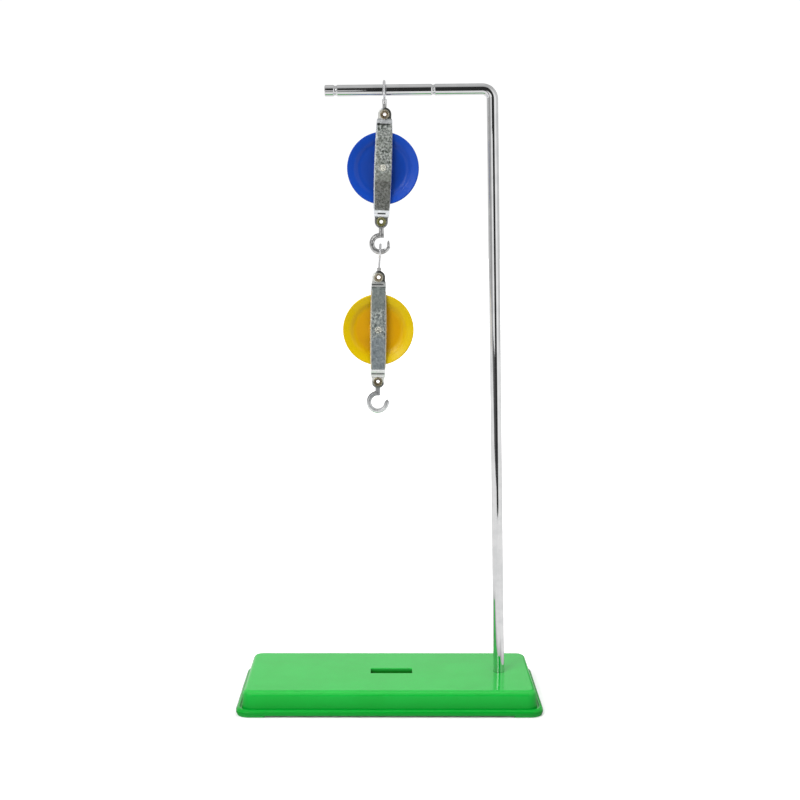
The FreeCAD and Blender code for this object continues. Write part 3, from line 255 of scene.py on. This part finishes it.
wear(plated("nickel_wire", (0.72, 0.72, 0.73), (0.88, 0.88, 0.89), 0.30), "upper_wire_hook", "lower_wire_hook")
wear(plated("yoke_metal", (0.74, 0.74, 0.72), (0.90, 0.90, 0.88), 0.34), "upper_yoke", "lower_yoke")
wear(plated("collar_metal", (0.74, 0.74, 0.74), (0.90, 0.90, 0.90), 0.30), "upper_hook_collar")
wear(plated("hook_steel", (0.30, 0.30, 0.30), (0.68, 0.68, 0.67), 0.32, grain=520.0, depth=0.00006, spots=0.7), "upper_c_hook")

lower_hook_painted_light = plated("hook_steel_painted_light", (0.78, 0.80, 0.81), (0.98, 0.98, 0.98), 0.42, grain=520.0, depth=0.00004, spots=0.35)
# painted light and shade: the bowl of the hook is painted bright for the floor's reflection in it, and the shank and
# the upper part of the ring are painted darker as shade
bowl_painted_reflection = lower_hook_painted_light.bsdf.inputs["Base Color"].links[0].from_socket
upper_painted_shade = lower_hook_painted_light.mix(0.62, bowl_painted_reflection, (0.10, 0.11, 0.12))
lower_hook_painted_light.set("Base_Color", lower_hook_painted_light.mix(lower_hook_painted_light.remap(lower_hook_painted_light.math(
    "ADD", lower_hook_painted_light.axis("Z"), lower_hook_painted_light.remap(lower_hook_painted_light.noise(300.0, 3.0), 0.3, 0.7, -0.0015, 0.0015)), 0.2120, 0.2200, 0.0, 1.0), bowl_painted_reflection, upper_painted_shade))
wear(lower_hook_painted_light, "lower_c_hook")
axle = plated("axle_steel", (0.02, 0.02, 0.015), (1.0, 1.0, 0.88), 0.30, grain=1250.0, depth=0.00012, spots=0.97)
axle.set("Metallic", 0.45)
wear(axle, "upper_axle", "lower_axle")


def eyelet_metal(name, cx, cz, flange, olive):
    """Rolled brass eyelet: pale worn flange, darker funnel round the bore, painted shade on one side."""
    s = Shader(name, Metallic=1.0)
    grain = s.noise(900.0, 4.0, 0.6)
    wear_and_edge_highlight = s.ramp(grain, [(0.32, tuple(c * 0.72 for c in flange)), (0.66, flange)])
    r = s.math("ADD", s.radius_xz(cx, cz), s.remap(grain, 0.3, 0.7, -0.00018, 0.00018))
    base = s.mix(s.remap(r, 0.00185, 0.00225, 1.0, 0.0), wear_and_edge_highlight, olive)
    base = s.mix(s.remap(r, 0.00305, 0.00325, 0.0, 0.7), base, (0.22, 0.17, 0.08))
    # painted shade: the lower left side of the flange is painted olive
    side = s.math("ADD", s.math("SUBTRACT", s.axis("Z"), cz), s.math("MULTIPLY", s.math("SUBTRACT", s.axis("X"), cx), 0.6))
    base = s.mix(s.remap(side, -0.0026, 0.0002, 0.55, 0.0), base, olive)
    s.set("Base_Color", base)
    s.set("Roughness", s.remap(grain, 0.3, 0.7, 0.18, 0.34))
    s.set("Normal", s.bump(s.noise(1200.0, 3.0, 0.6), 0.00004, 0.5))
    return s


wear(eyelet_metal("brass_upper_top", -0.00460, 0.41718, (0.86, 0.78, 0.60), (0.30, 0.19, 0.07)), "upper_top_eyelet")
wear(eyelet_metal("brass_upper_bottom", -0.00680, 0.34342, (0.52, 0.50, 0.24), (0.24, 0.24, 0.06)), "upper_bottom_eyelet")
wear(eyelet_metal("brass_lower_top", -0.00856, 0.30460, (0.90, 0.86, 0.70), (0.34, 0.24, 0.10)), "lower_top_eyelet")
wear(eyelet_metal("brass_lower_bottom", -0.00892, 0.23080, (0.80, 0.72, 0.50), (0.26, 0.20, 0.10)), "lower_bottom_eyelet")
wear(plated("plated_hardware", (0.48, 0.48, 0.49), (0.66, 0.66, 0.67), 0.3), "rod_washer", "rod_nut")


def zinc(name, dark, mid, light, fleck, warm, depth, rough, edge_highlight, zones, left, right):
    """Zinc-plated strap: crystalline speckle, bands, stains, dark lines along the bends, a painted highlight on its
    edges, joggles and tabs, and a painted dark crescent of shade on the tabs.

    `zones` are darker and lighter bands across the strap: (height, half length, colour, share); `left` and `right` are
    the colours of the painted highlight and shade along its rolled long edges."""
    s = Shader(name, Metallic=1.0)
    spangle = s.noise(fleck, 3.0, 0.62, distortion=0.6)
    base = s.ramp(spangle, [(0.37, dark), (0.48, mid), (0.61, light)])
    broad = s.noise(120.0, 3.0, 0.55)
    base = s.mix(s.remap(broad, 0.4, 0.7, 0.0, 0.55), base, warm)
    pits = s.noise(fleck * 1.5, 2.0, 0.5, vector=s.stretched(1, 1, 1, offset=(0.3, 0.1, 0.2)))
    base = s.mix(s.remap(pits, 0.62, 0.69, 0.0, 0.8), base, tuple(c * 0.15 for c in dark))
    ragged = s.math("ADD", s.axis("Z"), s.remap(s.noise(260.0, 3.0), 0.3, 0.7, -0.0014, 0.0014))
    for height, half, colour, share in zones:
        away = s.math("ABSOLUTE", s.math("SUBTRACT", ragged, height))
        base = s.mix(s.remap(away, half - 0.0012, half + 0.0012, share, 0.0), base, colour)
    # painted highlight: the rolled edges and the joggles are painted bright
    wear_and_edge_highlight = s.attribute("edge_highlight")
    base = s.mix(wear_and_edge_highlight, base, edge_highlight)
    # painted highlight and shade along the long edges
    base = s.mix(s.attribute("left_edge_light"), base, left)
    base = s.mix(s.attribute("right_edge_light"), base, right)
    streaks = s.noise(1.0, 3.0, 0.6, vector=s.stretched(420, 420, 1500))
    # painted highlight: one side of each tab is painted near white
    tab_highlight = s.attribute("tab_highlight")
    base = s.mix(tab_highlight, base, (0.98, 0.98, 0.93))
    # dark lines along the bends, broken into streaks
    base = s.mix(s.math("MULTIPLY", s.attribute("bend_dark_line"), s.remap(streaks, 0.28, 0.42, 0.45, 1.0)), base, (0.020, 0.022, 0.022))
    # painted shade: a dark crescent round one side of each tab
    base = s.mix(s.attribute("tab_shade"), base, (0.045, 0.043, 0.034))
    s.set("Base_Color", base)
    matt = s.remap(s.noise(fleck * 0.7, 3.0, 0.6), 0.3, 0.7, rough - 0.1, rough + 0.12)
    s.set("Roughness", s.math("ADD", s.math("SUBTRACT", matt, s.math("MULTIPLY", wear_and_edge_highlight, 0.18)), s.math("MULTIPLY", tab_highlight, 0.22)))
    bumps = s.bump(spangle, depth, s.node("ShaderNodeMapRange", {"Value": wear_and_edge_highlight, "To Min": 0.9, "To Max": 0.08}).outputs["Result"])
    s.set("Normal", bumps)
    return s


upper_zinc = zinc("upper_strap_zinc", (0.12, 0.14, 0.12), (0.45, 0.49, 0.46), (0.92, 0.95, 0.92), 640.0,
                  (0.42, 0.45, 0.40), 0.00034, 0.42, (0.93, 0.95, 1.0),
                  [(0.3735, 0.0032, (0.41, 0.43, 0.38), 0.62), (0.3610, 0.0105, (0.15, 0.145, 0.135), 0.64)],
                  (0.90, 0.95, 1.0), (0.54, 0.58, 0.68))
lower_zinc = zinc("lower_strap_zinc", (0.22, 0.25, 0.24), (0.44, 0.49, 0.47), (0.84, 0.89, 0.85), 520.0,
                  (0.40, 0.45, 0.45), 0.00020, 0.42, (0.95, 0.96, 0.94),
                  [(0.2910, 0.0085, (0.31, 0.36, 0.345), 0.66), (0.2500, 0.0125, (0.40, 0.46, 0.50), 0.72)],
                  (0.90, 0.78, 0.52), (0.44, 0.40, 0.29))


# -------------------------------------------------------------- straps in mesh

SHEET, FACE, TAB, EYE = 1.0, 6.0, 3.2, 36.9
JOGGLE_LOW, JOGGLE_HIGH, MID_BEND = 28.4, 33.2, 0.9
TAB_HALF, SHOULDER_LOW, SHOULDER_HIGH = 4.62, 33.2, 34.2
HOLES = ((0.0, 0.0, 1.62), (0.0, EYE, 1.72), (0.0, -EYE, 1.72))


def strap_path():
    """Middle surface of the sheet in (z, distance from the wheel's plane), upper half, bends rounded."""
    half = SHEET / 2
    slope = math.atan2(FACE - TAB, JOGGLE_HIGH - JOGGLE_LOW)
    shift = half * math.tan(slope / 2)
    corners = [(0.0, FACE - half), (JOGGLE_LOW - shift, FACE - half), (JOGGLE_HIGH - shift, TAB - half), (60.0, TAB - half)]
    out = [corners[0]]
    for i in (1, 2):
        a, b, c = (Vector(corners[j]) for j in (i - 1, i, i + 1))
        u, v = (a - b).normalized(), (c - b).normalized()
        reach = MID_BEND * math.tan(slope / 2)
        centre = b + (u + v).normalized() * (MID_BEND / math.cos(slope / 2))
        first, last = b + u * reach - centre, b + v * reach - centre
        a0, a1 = math.atan2(first.y, first.x), math.atan2(last.y, last.x)
        if a1 - a0 > math.pi:
            a1 -= 2 * math.pi
        if a0 - a1 > math.pi:
            a1 += 2 * math.pi
        for k in range(9):
            angle = a0 + (a1 - a0) * k / 8
            out.append((centre.x + MID_BEND * math.cos(angle), centre.y + MID_BEND * math.sin(angle)))
    out.append(corners[3])
    return out


PATH = strap_path()


def on_path(z):
    """Height of the middle surface above the wheel's plane at |z|."""
    q = abs(z)
    for (z0, h0), (z1, h1) in zip(PATH, PATH[1:]):
        if q <= z1:
            t = (q - z0) / (z1 - z0) if z1 > z0 else 0.0
            return h0 + (h1 - h0) * t
    return PATH[-1][1]


def path_normal(z):
    e = 0.12
    dh = (on_path(z + e) - on_path(z - e)) / (2 * e)
    n = Vector((0.0, 1.0, -dh))
    return n.normalized()


def outline(width, bulge, step=0.5):
    """Blank of the strap, counter-clockwise, in (x, z)."""
    hw, hb = width / 2, bulge / 2
    sag = hb - hw
    side_r = (SHOULDER_LOW ** 2 + sag ** 2) / (2 * sag)
    cx = hb - side_r
    half_angle = math.asin(SHOULDER_LOW / side_r)
    count = int(2 * SHOULDER_LOW / step)
    right = []
    for k in range(count + 1):
        a = -half_angle + 2 * half_angle * k / count
        right.append((cx + side_r * math.cos(a), side_r * math.sin(a)))
    right += [((hw + TAB_HALF) / 2 + 0.05, (SHOULDER_LOW + SHOULDER_HIGH) / 2)]
    top = []
    for k in range(5):
        top.append((TAB_HALF, SHOULDER_HIGH + (EYE - SHOULDER_HIGH) * k / 5))
    for k in range(31):
        a = math.pi * k / 30
        top.append((TAB_HALF * math.cos(a), EYE + TAB_HALF * math.sin(a)))
    for k in range(4, -1, -1):
        top.append((-TAB_HALF, SHOULDER_HIGH + (EYE - SHOULDER_HIGH) * k / 5))
    upper = right + top + [(-(hw + TAB_HALF) / 2 - 0.05, (SHOULDER_LOW + SHOULDER_HIGH) / 2)]
    left = [(-x, -z) for x, z in right[:-1]]
    lower = [(-(hw + TAB_HALF) / 2 - 0.05, -(SHOULDER_LOW + SHOULDER_HIGH) / 2)] + [(-x, -z) for x, z in top] + \
            [((hw + TAB_HALF) / 2 + 0.05, -(SHOULDER_LOW + SHOULDER_HIGH) / 2)]
    return upper + left + lower


def smooth(a, b, v):
    t = min(1.0, max(0.0, (v - a) / (b - a)))
    return t * t * (3 - 2 * t)


def normals_in(loop):
    n = len(loop)
    out = []
    for i in range(n):
        a, b, c = Vector(loop[i - 1]), Vector(loop[i]), Vector(loop[(i + 1) % n])
        t = ((b - a).normalized() + (c - b).normalized()).normalized()
        out.append(Vector((-t.y, t.x)))
    return out


def inside(loop, x, z):
    hit = False
    n = len(loop)
    for i in range(n):
        (x0, z0), (x1, z1) = loop[i], loop[(i + 1) % n]
        if (z0 > z) != (z1 > z) and x < (x1 - x0) * (z - z0) / (z1 - z0) + x0:
            hit = not hit
    return hit


# dark lines along the bends: (side of the wheel, |z|, half height, from x, to x, share)
BEND_DARK_LINES = {"upper": ((1, 29.6, 0.62, -5.2, 4.3, 0.82), (1, 29.7, 0.8, -4.9, -3.1, 1.0), (-1, 31.05, 0.55, -2.9, 2.9, 1.0),
                        (-1, 30.9, 0.35, -5.2, -2.4, 0.35), (-1, 28.5, 0.30, -5.2, 5.2, 0.45)),
              "lower": ((1, 31.7, 0.50, -4.9, 3.5, 0.90), (1, 29.8, 0.32, -5.0, -1.5, 0.72), (1, 29.8, 0.32, 1.1, 5.0, 0.72),
                        (-1, 30.8, 0.62, -4.8, 4.7, 0.80))}
# painted highlight on the joggles: (first, full, most) for each strap and end
JOGGLE_PAINTED_SHEEN = {("upper", 1): (29.9, 30.5, 0.55), ("upper", -1): (28.6, 29.2, 0.84), ("lower", 1): (29.9, 30.3, 0.66), ("lower", -1): (27.3, 28.5, 0.92)}


def strap(tag, side, centre, lean, width, bulge, left_land, right_land, tab_light_and_shade, material, seed):
    """One strap as a single closed mesh: lapped edges, rounded bends, slightly uneven sheet."""
    loop = outline(width, bulge)
    inward = normals_in(loop)
    n = len(loop)
    # how wide the rolled-over land is, all round
    land = []
    for x, z in loop:
        long_side = left_land if x < 0 else right_land
        land.append(0.34 + (long_side - 0.34) * (1 - smooth(27.5, 31.5, abs(z))) + 0.62 * smooth(33.9, 35.2, abs(z)))
    # (share of the land still inward, depth under the outer face)
    profile = [(1.0, 0.0), (0.88, 0.012), (0.74, 0.06), (0.5, 0.17), (0.26, 0.285), (0.1, 0.39), (0.02, 0.49), (0.0, 0.6)]
    back = [(0.0, 0.78), (0.05, 0.9), (0.14, 0.975), (0.26, 1.0)]
    rings = []
    for share, depth in profile:
        rings.append([((p[0] + q.x * w * share, p[1] + q.y * w * share), depth) for p, q, w in zip(loop, inward, land)])
    for inset, depth in back:
        rings.append([((p[0] + q.x * inset, p[1] + q.y * inset), depth) for p, q in zip(loop, inward)])

    verts, faces, edge_highlight_mask, tab_shade, bend_dark_line, tab_highlight_mask, edge_light_lines = [], [], [], [], [], [], ([], [])
    out_sign = -1.0 if side == "front" else 1.0

    def place(x, z, depth):
        h = on_path(z)
        nrm = path_normal(z)
        k = SHEET / 2 - depth
        near = min(math.hypot(x - hx, z - hz) for hx, hz, _ in HOLES)
        calm = smooth(2.9, 5.5, near)
        wave = noise.noise(Vector((x * 0.11 + seed, z * 0.09, seed))) * 0.07 + noise.noise(Vector((x * 0.33, z * 0.27 + seed, 3.1))) * 0.025
        return Vector((x, (h + nrm.y * k + wave * calm) * out_sign, z + nrm.z * k))

    def add(x, z, depth, mask):
        verts.append(place(x, z, depth))
        # painted highlight on the joggles, for the light their bent faces reflect
        q = abs(z)
        first, full, most = JOGGLE_PAINTED_SHEEN[(tag, 1 if z > 0 else -1)]
        joggle_sheen = most * smooth(first, full, q) * (1 - smooth(33.3, 34.0, q))
        crescent_shade, heading, spread, highlight_share, highlight_heading = tab_light_and_shade[0] if z > 0 else tab_light_and_shade[1]
        dx, dz = x, z - math.copysign(EYE, z)
        reach = math.hypot(dx, dz)
        facing = math.cos(math.atan2(dz, dx) - math.radians(heading))
        # painted light and shade on the tabs: a painted highlight on one side of the eyelet and a painted dark crescent
        # on the other
        tab_highlight = highlight_share * smooth(33.4, 34.0, q) * smooth(-0.1, 0.5, math.cos(math.atan2(dz, dx) - math.radians(highlight_heading)))
        edge_highlight_mask.append(max(mask, joggle_sheen) if depth < 0.5 else mask)
        # painted highlight and shade along the long edges, fading out before the joggles
        for values, way in zip(edge_light_lines, (-1, 1)):
            values.append(mask * (1 - smooth(26.5, 28.0, q)) if way * x > 3.0 else 0.0)
        tab_highlight_mask.append(tab_highlight if depth < 0.5 else 0.0)
        # painted dark crescent on the tab
        tab_shade.append(crescent_shade * smooth(2.9, 3.6, reach) * smooth(spread, spread + 0.55, facing) if q > 33.9 else 0.0)
        mark = 0.0
        for way, at, half, x0, x1, share in BEND_DARK_LINES[tag]:
            if way * z > 0 and depth < 0.5:
                mark = max(mark, share * (1 - smooth(half * 0.70, half * 1.25, abs(q - at))) * smooth(x0 - 0.3, x0 + 0.4, x) * (1 - smooth(x1 - 0.4, x1 + 0.3, x)))
        bend_dark_line.append(mark)
        return len(verts) - 1

    ring_ids = []
    for index, ring in enumerate(rings):
        # how much of the painted edge highlight each ring takes
        mask = (0.0, 0.15, 0.75, 1.0, 1.0, 1.0, 0.9, 0.7, 0.7, 0.6, 0.3, 0.0)[index]
        ring_ids.append([add(p[0], p[1], depth, mask) for p, depth in ring])
    for a, b in zip(ring_ids, ring_ids[1:]):
        for i in range(n):
            j = (i + 1) % n
            faces.append((a[i], b[i], b[j], a[j]))

    def cap(boundary, ids, depth, flip):
        points = [Vector(p) for p in boundary]
        index_of = list(ids)
        cdt_edges = [(i, (i + 1) % n) for i in range(n)]
        hole_ids = []
        for hx, hz, hr in HOLES:
            first = len(points)
            ring = []
            for k in range(28):
                a = 2 * math.pi * k / 28
                points.append(Vector((hx + hr * math.cos(a), hz + hr * math.sin(a))))
                ring.append(add(hx + hr * math.cos(a), hz + hr * math.sin(a), depth, 0.0))
            index_of += ring
            hole_ids.append(ring)
            cdt_edges += [(first + k, first + (k + 1) % 28) for k in range(28)]
        z = -42.0
        row = 0
        shrunk = [tuple(p) for p in boundary]
        while z < 42.0:
            fine = 26.8 < abs(z) < 34.8
            dz = 0.22 if fine else 0.7
            x = -7.0 + (0.4 if row % 2 else 0.0)
            while x < 7.0:
                clear = min(math.hypot(x - hx, z - hz) - hr for hx, hz, hr in HOLES)
                if clear > 0.3 and inside(shrunk, x, z):
                    gap = min((x - p[0]) ** 2 + (z - p[1]) ** 2 for p in boundary if abs(z - p[1]) < 1.2)
                    if gap > 0.09:
                        points.append(Vector((x, z)))
                        index_of.append(add(x, z, depth, 0.0))
                x += 0.8
            z += dz
            row += 1
        out_v, _, out_f, orig, _, _ = delaunay_2d_cdt(points, cdt_edges, [], 1, 1e-7)
        back_to = [o[0] if o else None for o in orig]
        for tri in out_f:
            ids3 = [back_to[v] for v in tri]
            if None in ids3:
                continue
            cx = sum(points[v].x for v in ids3) / 3
            cz = sum(points[v].y for v in ids3) / 3
            if any(math.hypot(cx - hx, cz - hz) < hr * 0.98 for hx, hz, hr in HOLES):
                continue
            t = [index_of[v] for v in ids3]
            faces.append(tuple(reversed(t)) if flip else tuple(t))
        return hole_ids

    front_holes = cap([p for p, _ in rings[0]], ring_ids[0], 0.0, False)
    back_holes = cap([p for p, _ in rings[-1]], ring_ids[-1], 1.0, True)
    for a, b in zip(front_holes, back_holes):
        m = len(a)
        for i in range(m):
            j = (i + 1) % m
            faces.append((a[j], b[j], b[i], a[i]))

    turn = Matrix.Rotation(math.radians(lean), 4, "Y")
    world = Matrix.Translation(Vector((centre[0], 0.0, centre[1]))) @ turn
    mesh = bpy.data.meshes.new("%s_%s_strap_sheet" % (tag, side))
    mesh.from_pydata([world @ (v * MM) for v in verts], [], faces)
    mask = mesh.attributes.new("edge_highlight", "FLOAT", "POINT")
    mask.data.foreach_set("value", edge_highlight_mask)
    for label, values in zip(("left_edge_light", "right_edge_light"), edge_light_lines):
        mesh.attributes.new(label, "FLOAT", "POINT").data.foreach_set("value", values)
    tab_shade_attr = mesh.attributes.new("tab_shade", "FLOAT", "POINT")
    tab_shade_attr.data.foreach_set("value", tab_shade)
    bend_line_attr = mesh.attributes.new("bend_dark_line", "FLOAT", "POINT")
    bend_line_attr.data.foreach_set("value", bend_dark_line)
    tab_highlight_attr = mesh.attributes.new("tab_highlight", "FLOAT", "POINT")
    tab_highlight_attr.data.foreach_set("value", tab_highlight_mask)
    bm = bmesh.new()
    bm.from_mesh(mesh)
    bmesh.ops.recalc_face_normals(bm, faces=bm.faces)
    bm.to_mesh(mesh)
    bm.free()
    for poly in mesh.polygons:
        poly.use_smooth = True
    mesh.materials.append(material.mat)
    obj = bpy.data.objects.new("%s_%s_strap_sheet" % (tag, side), mesh)
    scene.collection.objects.link(obj)
    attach(obj, tag + "_block")
    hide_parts("%s_%s_strap" % (tag, side))
    return obj


for tag, centre, lean, width, bulge, material, lands, tab_light_and_shade in (
        ("upper", UP_C, 1.71, 10.8, 12.4, upper_zinc, (0.95, 0.40), ((0.95, 24.0, -0.15, 0.85, 205.0), (0.74, -10.0, -1.5, 0.0, 0.0))),
        ("lower", LOW_C, 0.28, 10.3, 11.6, lower_zinc, (1.0, 0.8), ((0.90, 28.0, -0.15, 0.85, 205.0), (0.78, -85.0, 0.0, 0.90, 95.0)))):
    for side, seed in (("front", 1.3), ("rear", 5.9)):
        strap(tag, side, centre, lean, width, bulge, lands[0], lands[1], tab_light_and_shade, material, seed + (7.7 if tag == "lower" else 0.0))


# ------------------------------------------------------------ floor and lights

def flat(name, size, strength=0.0):
    """A stage sheet in the XY plane, facing +Z."""
    w, h = size[0] / 2, size[1] / 2
    mesh = bpy.data.meshes.new(name)
    mesh.from_pydata([(-w, -h, 0), (w, -h, 0), (w, h, 0), (-w, h, 0)], [], [(0, 1, 2, 3)])
    obj = bpy.data.objects.new(name, mesh)
    scene.collection.objects.link(obj)
    s = Shader(name, Roughness=1.0)
    s.set("Base_Color", (0.0, 0.0, 0.0))
    s.set("Specular_IOR_Level", 0.0)
    s.set("Emission_Color", (1.0, 1.0, 1.0))
    s.set("Emission_Strength", strength)
    mesh.materials.append(s.mat)
    return obj


def only(obj, camera=False, diffuse=False, glossy=False, shadow=False):
    obj.visible_camera = camera
    obj.visible_diffuse = diffuse
    obj.visible_glossy = glossy
    obj.visible_transmission = camera
    obj.visible_shadow = shadow
    return obj


def facing(obj, position, target):
    obj.location = position
    obj.rotation_euler = (Vector(target) - Vector(position)).to_track_quat("Z", "Y").to_euler()


def glow(obj, under, near, far, reach=0.03):
    """Emission of a floor sheet: `under` the base, `near` it and `far` from it; the drop to `under` round the base's
    footprint is a painted contact shadow.
    """
    s = Shader(obj.name + "_surface", Roughness=1.0)
    s.set("Specular_IOR_Level", 0.0)
    s.set("Emission_Color", (1.0, 1.0, 1.0))
    s.coord = s.tree.nodes.new("ShaderNodeNewGeometry").outputs["Position"]
    x = s.math("SUBTRACT", s.math("ABSOLUTE", s.axis("X")), 0.104)
    y = s.math("SUBTRACT", s.math("ABSOLUTE", s.axis("Y")), 0.045)
    out = s.remap(s.math("MAXIMUM", x, y), 0.0, reach, 0.0, 1.0)
    distance = s.node("ShaderNodeVectorMath", {0: s.coord}, operation="LENGTH").outputs["Value"]
    open_floor = s.remap(distance, 0.3, 1.5, near, far)
    patches = s.remap(s.noise(5.0, 2.0), 0.3, 0.7, 0.94, 1.04)
    level = s.math("ADD", under, s.math("MULTIPLY", s.math("MULTIPLY", out, open_floor), patches))
    s.set("Emission_Strength", level)
    obj.data.materials.clear()
    obj.data.materials.append(s.mat)
    return s


floor = only(flat("floor", (40.0, 40.0)), camera=True, shadow=True)
paper = glow(floor, 0.0, 0.46, 1.0, reach=0.022)
paper.set("Base_Color", (0.82, 0.82, 0.82))
bounce = only(flat("floor_bounce", (12.0, 12.0)), diffuse=True)
bounce.location = (0.0, 0.0, -0.0004)
glow(bounce, 0.08, 0.04, 0.85, reach=0.12).set("Base_Color", (0.55, 0.55, 0.55))
EDGE = -0.86
mirror_floor = only(flat("floor_seen_in_gloss", (8.0, 8.0)), glossy=True)
mirror_floor.location = (0.0, EDGE + 4.0, -0.0006)
glow(mirror_floor, 0.18, 0.80, 0.85, reach=0.09).set("Base_Color", (0.0, 0.0, 0.0))

# black cloth and stand in front, beside the camera, and one behind: seen only in the polished metal
for name, x0, x1, z0, z1, y, level in (("dark_front", -0.030, 0.400, 0.0, 1.02, -0.62, 0.035),
                                       ("dark_high", -0.150, -0.030, 0.45, 0.98, -0.621, 0.035),
                                       ("dark_below", -0.585, -0.030, 0.03, 0.19, -0.622, 0.10),
                                       ("dark_rear", 0.270, 0.470, 0.0, 1.00, 0.62, 0.06)):
    card = only(flat(name, (x1 - x0, z1 - z0), level), glossy=True)
    middle = ((x0 + x1) / 2, y, (z0 + z1) / 2)
    facing(card, middle, (middle[0], 0.0, middle[2]))

world = bpy.data.worlds.new("studio")
scene.world = world
world.use_nodes = True
wt = world.node_tree
bg = wt.nodes["Background"]
direction = wt.nodes.new("ShaderNodeTexCoord").outputs["Generated"]
split = wt.nodes.new("ShaderNodeSeparateXYZ")
wt.links.new(direction, split.inputs[0])


def world_math(op, a, b=0.0):
    m = wt.nodes.new("ShaderNodeMath")
    m.operation = op
    for socket, v in zip(m.inputs, (a, b)):
        if hasattr(v, "is_output"):
            wt.links.new(v, socket)
        else:
            socket.default_value = v
    return m.outputs[0]


def world_ramp(value, low, high, stops):
    t = world_math("DIVIDE", world_math("SUBTRACT", value, low), high - low)
    n = wt.nodes.new("ShaderNodeValToRGB")
    wt.links.new(t, n.inputs[0])
    while len(n.color_ramp.elements) < len(stops):
        n.color_ramp.elements.new(0.5)
    for element, (at, v) in zip(n.color_ramp.elements, stops):
        element.position = (at - low) / (high - low)
        element.color = (v, v, v, 1.0)
    return n.outputs[0]


# Surroundings by direction in degrees, 0 in front of the object, + to its right: two
# softboxes in front, grey walls at the sides, white paper behind, grey ceiling.
heading = world_math("MULTIPLY", world_math("ARCTAN2", split.outputs["X"], world_math("MULTIPLY", split.outputs["Y"], -1.0)), 180.0 / math.pi)
round_it = world_ramp(heading, -180.0, 180.0, [
    (-180.0, 0.95), (-149.0, 0.80), (-121.0, 0.70), (-91.0, 0.56), (-66.0, 0.42), (-48.0, 0.44), (-38.0, 1.02), (-5.0, 1.05),
    (-1.0, 0.5), (28.0, 0.5), (38.0, 1.10), (66.0, 1.10), (77.0, 0.74), (111.0, 0.72), (139.0, 0.80), (180.0, 0.95)])
climb = world_math("MULTIPLY", world_math("ARCSINE", split.outputs["Z"]), 180.0 / math.pi)
aloft = world_ramp(climb, -90.0, 90.0, [(-90.0, 0.0), (14.0, 0.0), (45.0, 0.75), (58.0, 1.0), (90.0, 1.0)])
ceiling = world_ramp(climb, -90.0, 90.0, [(-90.0, 0.6), (50.0, 0.55), (72.0, 0.60), (80.0, 0.78), (90.0, 0.62)])
tent = world_math("ADD", world_math("MULTIPLY", round_it, world_math("SUBTRACT", 1.0, aloft)), world_math("MULTIPLY", aloft, ceiling))
path = wt.nodes.new("ShaderNodeLightPath")
seen = world_math("MAXIMUM", world_math("MULTIPLY", path.outputs["Is Camera Ray"], 1.05), tent)
wt.links.new(seen, bg.inputs["Strength"])
bg.inputs["Color"].default_value = (1.0, 1.0, 1.0, 1.0)


def softbox(name, position, target, size, power):
    light = bpy.data.lights.new(name, "AREA")
    light.shape = "RECTANGLE"
    light.size, light.size_y = size
    light.energy = power
    obj = bpy.data.objects.new(name, light)
    scene.collection.objects.link(obj)
    obj.location = position
    obj.rotation_euler = (Vector(target) - Vector(position)).to_track_quat("-Z", "Y").to_euler()
    obj.visible_glossy = False
    return obj


softbox("key_left", (-0.75, -1.00, 1.00), (0.0, 0.0, 0.20), (0.80, 0.9), 13.5)
# the bright middle of that box, and of a second one far to the front left, as the gloss shows them
for name, size, level, position in (("key_seen", (0.12, 0.24), 8.5, (-0.75, -1.00, 1.00)),
                                    ("far_box_seen", (0.62, 0.62), 4.5, (-0.95, -2.82, 1.17))):
    facing(only(flat(name, size, level), glossy=True), position, (0.0, 0.0, 0.20))
softbox("overhead", (0.0, -0.45, 1.70), (0.0, 0.0, 0.0), (1.2, 0.7), 12.0)
softbox("fill_rear", (0.55, 1.25, 0.95), (0.0, 0.0, 0.20), (0.8, 0.8), 5.0)

# --------------------------------------------------------------------- camera

pitch, yaw, roll, focal = 0.12370, 0.01078, 0.00394, 1309.1
forward = Vector((math.sin(yaw) * math.cos(pitch), math.cos(yaw) * math.cos(pitch), -math.sin(pitch)))
right = Vector((math.cos(yaw), -math.sin(yaw), 0.0))
up = right.cross(forward)
right2 = right * math.cos(roll) + up * math.sin(roll)
up2 = up * math.cos(roll) - right * math.sin(roll)
camera = bpy.data.objects.new("camera", bpy.data.cameras.new("camera"))
scene.collection.objects.link(camera)
camera.data.sensor_width = 36.0
camera.data.lens = focal / 800.0 * 36.0
camera.data.clip_start = 0.01
camera.data.clip_end = 30.0
camera.matrix_world = Matrix((
    (right2.x, up2.x, -forward.x, -0.00319),
    (right2.y, up2.y, -forward.y, -0.92720),
    (right2.z, up2.z, -forward.z, 0.33270),
    (0.0, 0.0, 0.0, 1.0)))
scene.camera = camera
scene.view_settings.view_transform = "Standard"
scene.view_settings.look = "None"
